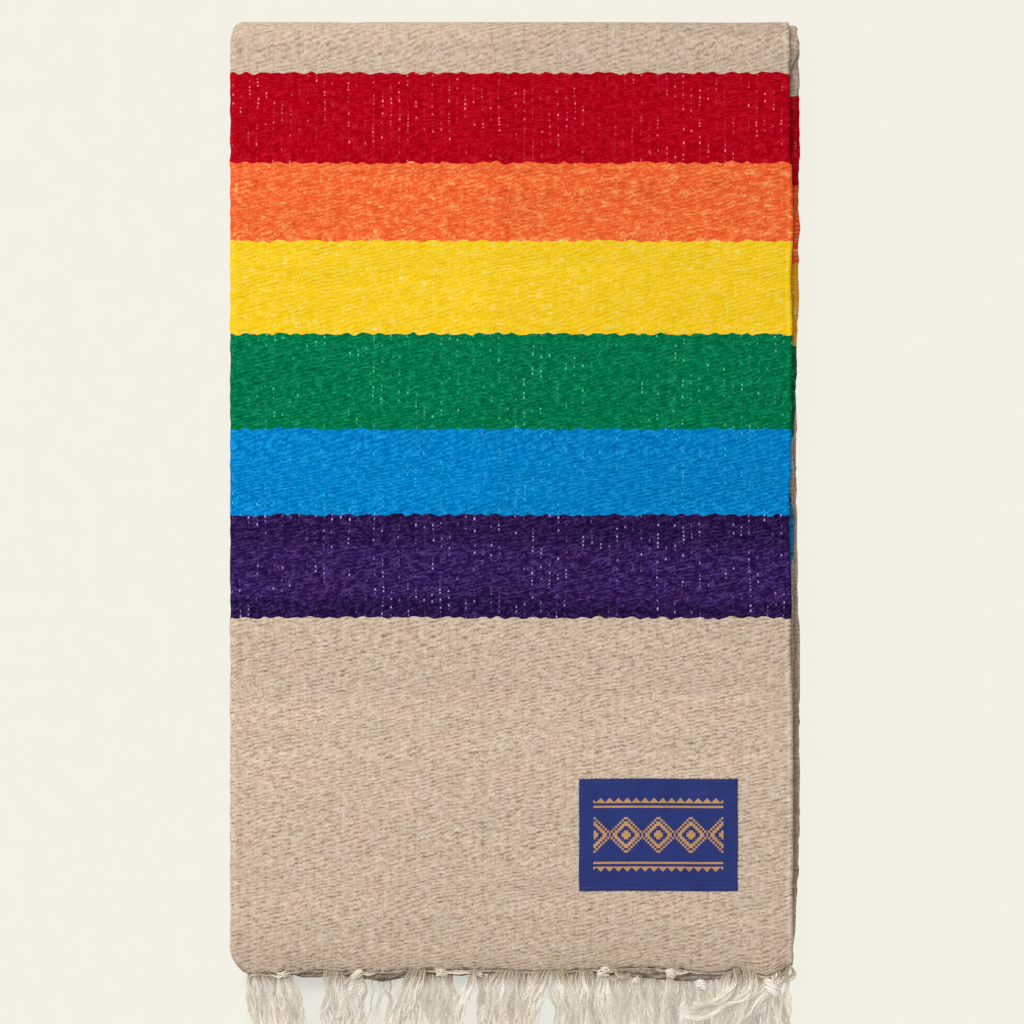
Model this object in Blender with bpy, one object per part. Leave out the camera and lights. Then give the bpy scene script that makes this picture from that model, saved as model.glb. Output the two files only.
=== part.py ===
"""A woven serape blanket, folded in four across its width and in three along its length, lying flat.

X runs across the folded blanket, Y towards its long round fold and Z up from the surface it rests on.
The origin is on the underside, below the middle of the top layer. All sizes are in metres.
The solids are the visible top layer with its wrap round two folds, the folded layers below it,
the label sewn on it, and the knotted fringe of the four layer ends that lie together.
"""

import math

import bmesh
import bpy
import numpy as np

# The blanket, and how it is folded
BLANKET_WIDTH = 1.524
BLANKET_LENGTH = 1.932
LAYERS_ACROSS = 4
THIRDS_ALONG = 3
LAYER = 0.00267
GAP = 0.0003
WRAP_GAP = 0.0004

WIDTH = BLANKET_WIDTH / LAYERS_ACROSS
LENGTH = BLANKET_LENGTH / THIRDS_ALONG
HALF_WIDTH = WIDTH / 2
HALF_LENGTH = LENGTH / 2
PACKET = LAYERS_ACROSS * LAYER
STACK = THIRDS_ALONG * PACKET
HIDDEN_LAYERS = LAYERS_ACROSS * THIRDS_ALONG - 1

# The side fold wraps one packet of four layers. The long fold wraps all three packets.
SIDE_RADIUS = PACKET / 2
SIDE_END = math.radians(158)
SIDE_STEPS = 7
TURN_RADIUS = STACK / 2
TURN_PATH = TURN_RADIUS - SIDE_RADIUS
TURN_Y = HALF_LENGTH - TURN_RADIUS
TURN_END = math.radians(165)
TURN_STEPS = 9

# The top layer: its gentle swell over the layers below, and where its outline isn't straight
SWELL_HEIGHT = 0.0009
SWELL_WAVES = 2.3
SWELL_SLANT = 0.4
SWELL_FADE_ACROSS = 0.05
SWELL_FADE_ALONG = 0.06
SELVEDGE_WAVE = 0.0006
SELVEDGE_WAVE_LENGTH = 0.083
END_PULL = 0.010
END_PULL_RUN = 0.034
END_PULL_POWER = 2.2
TURN_PULL = 0.007
PULL_FADE = 0.060
PLAIN_COLUMNS = 7
PLAIN_ROWS = 11
END_ROWS = 6

# The label, sewn near the fringed corner
LABEL_WIDTH = 0.107
LABEL_HEIGHT = 0.076
LABEL_FROM_SELVEDGE = 0.036
LABEL_FROM_END = 0.055
LABEL_THICKNESS = 0.0009
LABEL_COLUMNS = 4
LABEL_ROWS = 3

# The folded layers' right side, from the floor up: single selvedges and folds of two layers.
# A reach is how far an edge stands out beyond the top layer's selvedge.
RIGHT_EDGES = (
    # layers, reach at the fringe, reach half way, reach at the long fold, groove depth, waves
    (1, 0.0030, 0.0058, 0.0022, 0.0016, 3.0),
    (1, 0.0022, 0.0066, 0.0030, 0.0016, 4.8),
    (2, 0.0028, 0.0054, 0.0026, 0.0026, 2.4),
    (2, 0.0020, 0.0040, 0.0012, 0.0026, 3.9),
    (1, 0.0008, 0.0048, 0.0034, 0.0016, 6.3),
    (1, 0.0014, 0.0034, 0.0020, 0.0016, 2.7),
    (2, 0.0024, 0.0022, 0.0048, 0.0026, 4.5),
    (1, 0.0012, 0.0018, 0.0040, 0.0016, 3.6),
)
REACH_SHARES = (0.0, 0.12, 0.50, 0.62, 0.80, 1.0)
REACH_WAVE = 0.0006
EDGE_ROUNDNESS = 2.5
# Their left side: how far the side folds of the lowest and middle packets stand back
SIDE_SET_IN = (0.0010, 0.0018)
SIDE_STEP = 0.0007
BLOCK_SET_IN = SIDE_RADIUS + TURN_PULL + 0.0006
# Their fringed side: a round fold of eight layers, and the ends of the three layers above it
FOLD_REACH = 0.0015
FOLD_ROUNDNESS = 2.2
END_REACHES = (0.0042, 0.0058, 0.0052)
END_GROOVE = 0.0012
CORNER_RADIUS = 0.005
CORNER_STEPS = 3
RIGHT_STEPS = 12
LEFT_STEPS = 13
LEFT_CROWDING = 0.8
ACROSS_STEPS = 8
LEVEL_SHARES = (0.0, 0.3, 0.7)

# The fringe: a strip along each layer end, with tassel heads on it and strands out of each head
STRIP_DEPTH = 0.0030
STRIP_THICKNESS = 0.0022
HEAD_WIDTH = 0.0090
HEAD_DEPTH = 0.0024
HEAD_TAPER = 0.0002
STRANDS = 6
STRAND_INSET = 0.00022
STRAND_SIZE = 0.0011
DROP_SHARES = (0.22, 0.45, 0.7, 1.0)
FRINGE_LENGTH = 0.095
TIP_SPREAD = 0.0165
TIP_UNEVEN = 0.006
LEAN_POWER = 1.5
LOWEST_STRAND = 0.00105
ROW_PITCH = 0.0014
FRINGE_ROWS = (
    # name, layer counted from the top, level run, drop run
    ("fringe_top_layer", 0, 0.0055, 0.044),
    ("fringe_second_layer", 1, 0.0, 0.032),
    ("fringe_third_layer", 2, 0.0, 0.025),
    ("fringe_fourth_layer", 3, 0.0, 0.018),
)
TASSELS = (
    # x and lean at the tip of each tassel, on the top, second, third and fourth layers
    ((-0.158, 0.002), (-0.171, 0.007), (-0.164, 0.004), (-0.152, -0.003)),
    ((-0.103, -0.012), (-0.124, 0.002), (-0.112, 0.003), (-0.098, 0.004)),
    ((-0.048, 0.002), (-0.070, -0.013), (-0.058, -0.004), (-0.040, 0.006)),
    ((0.006, -0.004), (-0.016, 0.001), (-0.004, 0.002), (0.016, -0.003)),
    ((0.064, -0.006), (0.034, 0.003), (0.050, 0.005), (0.070, 0.002)),
    ((0.109, 0.001), (0.085, -0.004), (0.100, -0.002), (0.121, 0.004)),
    ((0.174, -0.022), (0.150, -0.020), (0.166, -0.008), (0.176, -0.006)),
)

TAN = (0.617, 0.469, 0.352, 1.0)
SHADED_TAN = (0.560, 0.420, 0.315, 1.0)
NAVY = (0.024, 0.038, 0.165, 1.0)
CREAM = (0.723, 0.672, 0.578, 1.0)


def cloth_material(name, colour, roughness):
    """A Principled material for yarn, with no metal in it."""
    material = bpy.data.materials.new(name)
    material.use_nodes = True
    shader = material.node_tree.nodes["Principled BSDF"]
    shader.inputs["Base Color"].default_value = colour
    shader.inputs["Roughness"].default_value = roughness
    shader.inputs["Metallic"].default_value = 0.0
    return material


def add_solid(name, shape, material):
    """One object from a bmesh, with its faces turned outwards and its folds shaded smooth."""
    bmesh.ops.recalc_face_normals(shape, faces=shape.faces)
    mesh = bpy.data.meshes.new(name)
    shape.to_mesh(mesh)
    shape.free()
    mesh.shade_smooth()
    mesh.set_sharp_from_angle(angle=math.radians(40))
    mesh.materials.append(material)
    solid = bpy.data.objects.new(name, mesh)
    bpy.context.scene.collection.objects.link(solid)
    return solid


def wall(outer, inner):
    """A closed wall between two matching grids of points, as a bmesh."""
    shape = bmesh.new()
    sheets = []
    for grid in (outer, inner):
        rows = [[shape.verts.new(point) for point in row] for row in grid]
        for row, following in zip(rows, rows[1:]):
            for step in range(len(row) - 1):
                shape.faces.new((row[step], row[step + 1], following[step + 1], following[step]))
        rim = rows[0] + [row[-1] for row in rows[1:]]
        rim += rows[-1][-2::-1] + [row[0] for row in rows[-2:0:-1]]
        sheets.append(rim)
    top, below = sheets
    for step in range(len(top)):
        following = (step + 1) % len(top)
        shape.faces.new((top[step], top[following], below[following], below[step]))
    return shape


def end_pull(y):
    """How far the left outline pulls in near the fringed end."""
    below = np.maximum(0.0, END_PULL_RUN - HALF_LENGTH - y) / END_PULL_RUN
    return END_PULL * np.minimum(below, 1.15) ** END_PULL_POWER


def swell(x, y):
    """The top layer's gentle rise over uneven layers. It fades out at its edges."""
    across = np.clip((HALF_WIDTH - np.abs(x)) / SWELL_FADE_ACROSS, 0.0, 1.0)
    along = np.clip((TURN_Y - np.abs(y)) / SWELL_FADE_ALONG, 0.0, 1.0)
    slanted = np.cos(math.pi * (y - SWELL_SLANT * x) / LENGTH)
    waves = slanted * np.sin(SWELL_WAVES * math.pi * (x + y) / WIDTH)
    return SWELL_HEIGHT * across * along * (0.5 + 0.5 * waves)


def flat_stations():
    """X of the top layer's flat columns and Y of its flat rows, with the label's edges among them."""
    label_right = HALF_WIDTH - LABEL_FROM_SELVEDGE
    label_left = label_right - LABEL_WIDTH
    label_bottom = LABEL_FROM_END - HALF_LENGTH
    label_top = label_bottom + LABEL_HEIGHT
    columns = [
        [HALF_WIDTH],
        np.linspace(label_right, label_left, LABEL_COLUMNS + 1),
        np.linspace(label_left, SIDE_RADIUS - HALF_WIDTH, PLAIN_COLUMNS)[1:],
    ]
    rows = [
        np.linspace(-HALF_LENGTH, label_bottom, END_ROWS)[:-1],
        np.linspace(label_bottom, label_top, LABEL_ROWS + 1),
        np.linspace(label_top, TURN_Y, PLAIN_ROWS)[1:],
    ]
    return np.concatenate(columns), np.concatenate(rows)


def packet_surface(depth):
    """The top packet's surface, a depth below its outer face: rows along it, columns across it.

    Across, it is flat and then turns down round the side fold. Along, it is flat and then turns
    down round the long fold. Each point is its place across, carried along that path.
    """
    flat_x, flat_y = flat_stations()
    side_angle = np.linspace(0.0, SIDE_END, SIDE_STEPS + 1)[1:]
    turn_angle = np.linspace(0.0, TURN_END, TURN_STEPS + 1)[1:]
    radius = SIDE_RADIUS - depth
    x = np.concatenate([flat_x, SIDE_RADIUS - HALF_WIDTH - radius * np.sin(side_angle)])
    rise = np.concatenate([np.full(len(flat_x), radius), radius * np.cos(side_angle)])
    angle = np.concatenate([np.zeros(len(flat_y)), turn_angle])
    path_y = np.concatenate([flat_y, TURN_Y + TURN_PATH * np.sin(turn_angle)])
    path_z = TURN_RADIUS + TURN_PATH * np.cos(angle)

    x, y = np.meshgrid(x, path_y)
    rise, angle = np.meshgrid(rise, angle)
    left_share = np.clip(1 - (HALF_WIDTH + x) / PULL_FADE, 0.0, 1.0)
    pull = end_pull(y) + TURN_PULL * (1 - np.abs(np.cos(angle)))
    right_share = np.clip(1 - (HALF_WIDTH - x) / LABEL_FROM_SELVEDGE, 0.0, 1.0)
    ripple = SELVEDGE_WAVE * np.sin(2 * math.pi * y / SELVEDGE_WAVE_LENGTH)
    return np.stack(
        [
            x + left_share * pull + right_share * ripple,
            y + rise * np.sin(angle),
            path_z[:, None] + rise * np.cos(angle) + swell(x, y),
        ],
        axis=-1,
    )


def make_top_layer(material):
    """The layer that shows, from its selvedge over the top and down round both folds."""
    return add_solid("front_panel", wall(packet_surface(0.0), packet_surface(LAYER)), material)


def make_label(material):
    """The label, from the top layer's own points under it, moved out."""
    rows = slice(END_ROWS - 1, END_ROWS + LABEL_ROWS)
    under = packet_surface(0.0)[rows, 1 : LABEL_COLUMNS + 2]
    inner = under + (0.0, 0.0, GAP)
    outer = inner + (0.0, 0.0, LABEL_THICKNESS)
    return add_solid("label", wall(outer, inner), material)


def draw_back(z, low, high, depth, roundness):
    """How far a rounded edge between two heights draws back: nothing half way up it."""
    share = min(1.0, abs(2 * (z - low) / (high - low) - 1))
    return depth * (1 - (1 - share**roundness) ** (1 / roundness))


def right_side(y, z):
    """X of the folded layers' right side."""
    low = 0.0
    for layers, at_fringe, half_way, at_fold, groove, waves in RIGHT_EDGES:
        high = low + layers * LAYER
        if z < high - GAP / 2:
            break
        low = high
    share = (y + HALF_LENGTH) / LENGTH
    reaches = (at_fringe, half_way, half_way, half_way, at_fold, at_fold)
    reach = float(np.interp(share, REACH_SHARES, reaches))
    wave = REACH_WAVE * math.sin(2 * math.pi * waves * share + waves)
    return HALF_WIDTH + reach + wave - draw_back(z, low, high, groove, EDGE_ROUNDNESS)


def left_side(y, z):
    """X of the folded layers' left side: two bare side folds, and one inside the top layer's wrap."""
    packet = int((z + GAP / 2) / PACKET)
    if packet < len(SIDE_SET_IN):
        radius = SIDE_RADIUS - SIDE_SET_IN[packet]
    else:
        radius = SIDE_RADIUS - LAYER - WRAP_GAP
    share = min(1.0, abs(z - (packet + 0.5) * PACKET) / radius)
    return SIDE_RADIUS - HALF_WIDTH + float(end_pull(y)) - radius * math.sqrt(1 - share**2)


def wrap_end(z):
    """Y just short of where the top layer's wrap ends, low on the long fold."""
    return TURN_Y + (TURN_RADIUS - z) * math.tan(math.pi - TURN_END) - WRAP_GAP


def left_end(z):
    """Y where the side folds end at the long fold."""
    if z < PACKET - GAP / 2:
        return wrap_end(z) - 3 * SIDE_STEP
    if z < 2 * PACKET - GAP / 2:
        height = z - TURN_RADIUS
        return TURN_Y + math.sqrt(max(0.0, (SIDE_RADIUS - GAP) ** 2 - height**2)) - 2 * SIDE_STEP
    return TURN_Y - 2 * SIDE_STEP


def back_side(z):
    """Y of the folded layers' round side, inside the top layer's wrap."""
    radius = TURN_RADIUS - LAYER - WRAP_GAP
    if z < TURN_RADIUS - radius:
        return wrap_end(z)
    return TURN_Y + math.sqrt(max(0.0, radius**2 - (z - TURN_RADIUS) ** 2))


def front_side(z):
    """Y of the folded layers' fringed side: a round fold, and the layer ends above it."""
    if z < 2 * PACKET - GAP / 2:
        return draw_back(z, 0.0, 2 * PACKET, PACKET, FOLD_ROUNDNESS) - HALF_LENGTH - FOLD_REACH
    layer = int((z + GAP / 2 - 2 * PACKET) / LAYER)
    low = 2 * PACKET + layer * LAYER
    groove = draw_back(z, low, low + LAYER, END_GROOVE, EDGE_ROUNDNESS)
    return groove - HALF_LENGTH - END_REACHES[layer]


def corner(x, y, start):
    """Points round a quarter turn about a centre, counter-clockwise from an angle in degrees."""
    angles = np.radians(start + np.linspace(0.0, 90.0, CORNER_STEPS + 1))
    return [(x + CORNER_RADIUS * math.cos(a), y + CORNER_RADIUS * math.sin(a)) for a in angles]


def outline(z):
    """The folded layers' outline at one height, counter-clockwise from its fringed right corner."""
    front, back, side_end = front_side(z), back_side(z), left_end(z)
    low, high = front + CORNER_RADIUS, back - CORNER_RADIUS
    block = BLOCK_SET_IN - HALF_WIDTH
    right = [(right_side(y, z), y) for y in np.linspace(low, high, RIGHT_STEPS + 1)]
    down = side_end - (side_end - low) * np.linspace(0.0, 1.0, LEFT_STEPS + 1) ** LEFT_CROWDING
    left = [(left_side(y, z), y) for y in down]
    far_right, near_right, near_left = right[-1][0], right[0][0], left[-1][0]
    points = right[:-1]
    points += corner(far_right - CORNER_RADIUS, high, 0)
    points += [(x, back) for x in np.linspace(far_right, block, ACROSS_STEPS + 1)[1:-1]]
    points += [(block, back - SIDE_STEP), (block, side_end + SIDE_STEP)]
    points += left[:-1]
    points += corner(near_left + CORNER_RADIUS, low, 180)
    points += [(x, front) for x in np.linspace(near_left, near_right, ACROSS_STEPS + 1)[1:-1]]
    points += corner(near_right - CORNER_RADIUS, low, 270)[:-1]
    return points


def make_folded_layers(material):
    """The hidden layers as one solid: outlines up its height, with a flat face below and on top."""
    top = HIDDEN_LAYERS * LAYER - WRAP_GAP
    levels = [(layer + share) * LAYER for layer in range(HIDDEN_LAYERS) for share in LEVEL_SHARES]
    shape = bmesh.new()
    rings = [[shape.verts.new((x, y, z)) for x, y in outline(z)] for z in levels + [top]]
    shape.faces.new(rings[0])
    shape.faces.new(rings[-1])
    for ring, above in zip(rings, rings[1:]):
        for step in range(len(ring)):
            following = (step + 1) % len(ring)
            shape.faces.new((ring[step], ring[following], above[following], above[step]))
    return add_solid("folded_layers", shape, material)


def drop(share):
    """How high a strand still is along its fall: 1 at the root, 0 from the fall's end on."""
    share = min(1.0, max(0.0, share))
    return (1 - share) ** 2 * (1 + 2 * share)


def make_strip(shape, layer, tassels):
    """A narrow strip along a layer's end. Returns its front faces, from left to right."""
    top = STACK - layer * LAYER - GAP
    bottom = top - STRIP_THICKNESS
    reach = END_REACHES[len(END_REACHES) - layer] if layer else 0.0
    back = -HALF_LENGTH - reach - GAP
    front = back - STRIP_DEPTH
    edges = [END_PULL + 2 * SELVEDGE_WAVE - HALF_WIDTH]
    for x, _ in tassels:
        edges += list(x + HEAD_WIDTH * (np.arange(STRANDS + 1) / STRANDS - 0.5))
    edges.append(HALF_WIDTH - 2 * SELVEDGE_WAVE)
    corners = ((front, bottom), (front, top), (back, top), (back, bottom))
    lines = [[shape.verts.new((x, y, z)) for x in edges] for y, z in corners]
    faces = []
    for line, following in zip(lines, lines[1:] + lines[:1]):
        for step in range(len(edges) - 1):
            side = (line[step], following[step], following[step + 1], line[step + 1])
            faces.append(shape.faces.new(side))
    shape.faces.new([line[0] for line in lines])
    shape.faces.new([line[-1] for line in lines])
    bmesh.ops.recalc_face_normals(shape, faces=shape.faces)
    return faces[: len(edges) - 1]


def draw_strand(shape, root_face, side, lean, length, level, run, floor):
    """Draw one strand out of its root face. It runs level, falls to the floor and fans out."""
    root = root_face.calc_center_median()
    stations = [level] if level else []
    stations += [level + share * run for share in DROP_SHARES] + [length]
    half = STRAND_SIZE / 2
    tip = root_face
    for out in stations:
        tip = bmesh.ops.extrude_discrete_faces(shape, faces=[tip])["faces"][0]
        share = out / FRINGE_LENGTH
        x = root.x + side * (TIP_SPREAD - HEAD_WIDTH) * share + lean * share**LEAN_POWER
        z = floor + (root.z - floor) * drop((out - level) / run)
        centre = tip.calc_center_median()
        for vert in tip.verts:
            across = math.copysign(half, vert.co.x - centre.x)
            up = math.copysign(half, vert.co.z - centre.z)
            vert.co = (x + across, root.y - out, z + up)


def make_fringe_row(name, layer, level, run, material):
    """A strip, a tassel head on it for each knot, and strands drawn out of each head."""
    tassels = [row[layer] for row in TASSELS]
    floor = LOWEST_STRAND + (len(FRINGE_ROWS) - 1 - layer) * ROW_PITCH
    shape = bmesh.new()
    front = make_strip(shape, layer, tassels)
    for number, (_, lean) in enumerate(tassels):
        first = 1 + number * (STRANDS + 1)
        cells = front[first : first + STRANDS]
        bmesh.ops.inset_region(shape, faces=cells, thickness=HEAD_TAPER, depth=HEAD_DEPTH)
        bmesh.ops.inset_individual(shape, faces=cells, thickness=STRAND_INSET)
        for strand, cell in enumerate(cells):
            side = strand / (STRANDS - 1) - 0.5
            length = FRINGE_LENGTH - TIP_UNEVEN * math.sin(1.7 * strand + 2.3 * number + layer)
            draw_strand(shape, cell, side, lean, length, level, run, floor)
    return add_solid(name, shape, material)


def main():
    for item in list(bpy.data.objects):
        bpy.data.objects.remove(item)
    make_top_layer(cloth_material("weft-faced blanket cloth, tan ground", TAN, 0.9))
    make_folded_layers(cloth_material("weft-faced blanket cloth in the folds", SHADED_TAN, 0.9))
    make_label(cloth_material("woven label, navy ground", NAVY, 0.6))
    yarn = cloth_material("loose warp yarn, unbleached", CREAM, 0.9)
    for name, layer, level, run in FRINGE_ROWS:
        make_fringe_row(name, layer, level, run, yarn)


main()
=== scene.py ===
import math
from functools import partial

import bpy
import numpy as np
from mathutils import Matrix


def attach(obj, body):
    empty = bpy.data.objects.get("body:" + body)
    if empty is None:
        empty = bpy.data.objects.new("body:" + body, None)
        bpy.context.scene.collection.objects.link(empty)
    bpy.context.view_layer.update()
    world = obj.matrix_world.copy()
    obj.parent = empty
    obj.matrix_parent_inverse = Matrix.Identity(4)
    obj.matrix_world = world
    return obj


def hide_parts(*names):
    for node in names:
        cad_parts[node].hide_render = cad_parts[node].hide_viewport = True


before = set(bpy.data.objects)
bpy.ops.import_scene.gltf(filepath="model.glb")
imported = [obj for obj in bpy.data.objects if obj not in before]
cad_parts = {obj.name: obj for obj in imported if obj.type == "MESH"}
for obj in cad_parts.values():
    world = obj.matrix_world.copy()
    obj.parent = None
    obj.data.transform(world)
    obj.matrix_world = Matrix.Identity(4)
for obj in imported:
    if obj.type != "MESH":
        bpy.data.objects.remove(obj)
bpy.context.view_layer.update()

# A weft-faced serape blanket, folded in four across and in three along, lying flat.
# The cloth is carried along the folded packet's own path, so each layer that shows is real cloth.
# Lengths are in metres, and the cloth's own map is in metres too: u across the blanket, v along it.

# The blanket and its folds, as in the part
BLANKET_WIDTH = 1.524
BLANKET_LENGTH = 1.932
LAYER = 0.00267
HALF_WIDTH = BLANKET_WIDTH / 8
HALF_LENGTH = BLANKET_LENGTH / 6
PACKET = 4 * LAYER
STACK = 3 * PACKET
SIDE_RADIUS = PACKET / 2
TURN_RADIUS = STACK / 2
TURN_PATH = TURN_RADIUS - SIDE_RADIUS
TURN_Y = HALF_LENGTH - TURN_RADIUS
FOLD_REACH = 0.0015
FOLD_Y = PACKET - HALF_LENGTH - FOLD_REACH
MIDDLE_END = 0.289
CLOTH = 0.00257
SIDE_X = SIDE_RADIUS - HALF_WIDTH
UNDERLAP = 0.015
OUTER_WIDTH = HALF_WIDTH - SIDE_X + SIDE_RADIUS * math.pi + UNDERLAP
LIP_STEPS = np.array([0.0, 0.00025, 0.0006, 0.0011, 0.0017])

# The top layer's soft swell, its selvedge's wave and the cloth drawn in at its ends and folds
SWELL_HEIGHT = 0.0009
SELVEDGE_WAVE = 0.0006
SELVEDGE_WAVE_LENGTH = 0.083
END_PULL = 0.0075
END_PULL_RUN = 0.018
TURN_PULL = 0.0031
TURN_BULGE = 0.0020
RIGHT_TURN_PULL = 0.0035
PULL_FADE = 0.060
SIDE_SET_IN = {1: 0.0, 3: 0.0010, 2: 0.0018}

# How far each layer's edge stands out at the right, in mm: (place along, reach) from the fringe on
REACHES = {
    # packet: outermost layer, its neighbour, the folded pair
    1: (
        (
            (-322, 0.8), (-300, 1), (-267, 1.5), (-229, 0), (-189, 2), (-148, 0), (-107, 0), (-60, -0.5),
            (-24, -0.9), (3, -1.3), (27, -0.7), (62, 0.5), (88, 0.2), (142, 0.5), (170, 0.2), (197, 0.7), (226, 0.7),
            (258, -1.9), (285, -1.6), (305, -0.3), (322, 0),
        ),
        ((-322, -3), (60, -4), (285, -3.5), (300, 4.8), (322, 5.2)),
        (
            (-322, -1.5), (34, -1), (44, 2.8), (72, 3.6), (99, 4.4), (133, 5.4), (200, 5.7), (262, 6.4), (296, 5.7),
            (322, 5.4),
        ),
    ),
    3: (
        (
            (-322, 1.6), (-294, 4.6), (-273, 6.4), (-253, 7.6), (-110, 7.8), (-70, 6.6), (-39, 6.2), (60, 5.2),
            (90, 4.8), (120, 2.8), (280, 3), (322, 4.8),
        ),
        (
            (-322, 0.8), (-294, 3.4), (-253, 6), (-110, 6.4), (-39, 5), (41, 4.6), (120, 2.8), (280, 3.4),
            (322, 5),
        ),
        (
            (-322, 0), (-285, 1.6), (-245, 3), (-90, 3), (-39, 3.2), (60, 3.2), (120, 2.4), (280, 3.2),
            (322, 5),
        ),
    ),
    2: (
        ((-322, -1.5), (322, -1.5)),
        ((-322, -1.5), (322, -1.5)),
        ((-322, -1.5), (-46, -1.5), (-38, 3.7), (-12, 3.5), (-5, -1.5), (322, -1.5)),
    ),
}
# The top layer's end, in mm: (place across, how far it stands back) from the side fold on
END_LINE = (
    (-181, -1.6), (-166, -2), (-157, -0.6), (-142, 0), (-132, 0.7), (-119, 0), (-110, -1.4), (-104, 0.4),
    (-89, -0.8), (-75, 0.7), (-68, 1.3), (-58, 0.8), (-47, 0.4), (-34, 0.9), (-20, 0.8), (-10, 1), (0, 0.5),
    (13, -0.2), (24, 0.5), (37, 0.2), (47, 0.2), (60, 1.8), (70, 1.2), (82, 2.6), (98, 2.4), (107, 1), (121, 0.7),
    (129, -0.7), (139, -1.4), (147, -0.5), (152, 1.6), (159, 2), (166, -0.7), (173, -4), (178, -3.2), (182, -0.7),
    (186, 2), (191, 4.2),
)
# The lower layers' ends, in mm: (place across, how far the second layer's end stands out)
LOWER_END = (
    (-190, -2), (-170, -1), (-152, 1), (-146, 4), (-140, 6.6), (-134, 7.4), (-128, 6), (-122, 3.6),
    (-112, 2), (-103, 4.4), (-97, 7.8), (-86, 8.2), (-76, 7.6), (-69, 3.4), (-55, 2), (-46, 3.6), (-30, 4),
    (-20, 2), (0, 1.6), (30, 2.2), (60, 2), (76, 4.6), (90, 5.4), (104, 6), (112, 8), (124, 7.6), (134, 7),
    (146, 4), (158, 6.5), (166, 8), (176, 3), (182, -1), (191, -3),
)

# Creases and soft ridges pressed in by folding, in mm: (across, along the cloth) from and to, rise, half width
CREASES = (
    # on the top: up its upper half, across below the stripes, and a few short ones
    ((-18, 322), (-13, 614), 0.50, 12),
    ((-192, 186), (150, 190), -0.42, 11),
    ((-170, 96), (-96, 128), 0.22, 9),
    ((96, 392), (168, 420), 0.24, 10),
    ((-150, 470), (-74, 452), -0.20, 8),
    # round the long fold
    ((-178, 636), (-104, 650), -0.45, 5),
    ((40, 640), (176, 656), -0.50, 6),
    ((-60, 662), (20, 668), -0.30, 5),
    # on the underside, where they only lift
    ((-150, 764), (60, 778), -0.35, 10),
    ((34, 830), (22, 1090), -0.30, 9),
    ((-128, 1184), (160, 1166), -0.42, 9),
)

# The label, how far in its stitches run, and how far apart they are
LABEL_WIDTH = 0.1075
LABEL_HEIGHT = 0.076
LABEL_RIGHT = HALF_WIDTH - 0.0365
LABEL_BOTTOM = 0.055 - HALF_LENGTH
SEAM = 0.0021
STITCH = 0.0027

# The fringe: its rows, a yarn's radius and its girth in its own map, a tassel's half heights from root to end
FRINGE_ROWS = (
    # piece, node, layer from the top, level run, drop run
    ("top_layer_yarns", "fringe_top_layer", 0, 0.0055, 0.044),
    ("second_layer_yarns", "fringe_second_layer", 1, 0.002, 0.034),
    ("third_layer_yarns", "fringe_third_layer", 2, 0.002, 0.027),
    ("fourth_layer_yarns", "fringe_fourth_layer", 3, 0.002, 0.020),
)
LOWEST_STRAND = 0.00105
ROW_PITCH = 0.0014
YARN = 0.00031
YARN_ROUND = 0.003
TASSEL_HEIGHTS = (0.0012, 0.0019, 0.0020, 0.0016, 0.0012)
KNOTS = (
    # layer, then across, out from the end, half width, half length in mm, slant, warp drawn in from left and right
    (0, -154.6, 2.2, 4.2, 1.9, 0.1, 9, 8),
    (0, -104.1, 1.8, 4.0, 2.6, 0.5, 5, 15),
    (0, -47.1, 1.0, 4.4, 2.3, -0.1, 4, 27),
    (0, 63.4, 0.2, 4.3, 3.2, 0.3, 5, 9),
    (0, 108.8, 1.2, 3.2, 2.9, -0.2, 4, 17),
    (1, 85.0, 6.6, 2.5, 1.8, 0.2, 0, 0),
    (1, 129.8, 9.3, 3.3, 2.9, -0.4, 0, 0),
    (1, -21.4, 2.2, 2.4, 1.6, 0.2, 0, 0),
)
# The big knot at the far corner, in metres: across, out from the end, half width, length and height, slant, rings
CORNER_KNOT = (0.1772, 0.0104, 0.0046, 0.0048, 0.0030, -0.75, 12)
HEADER_SPAN = (-0.1765, 0.1800)
HEADERS = 4
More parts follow.
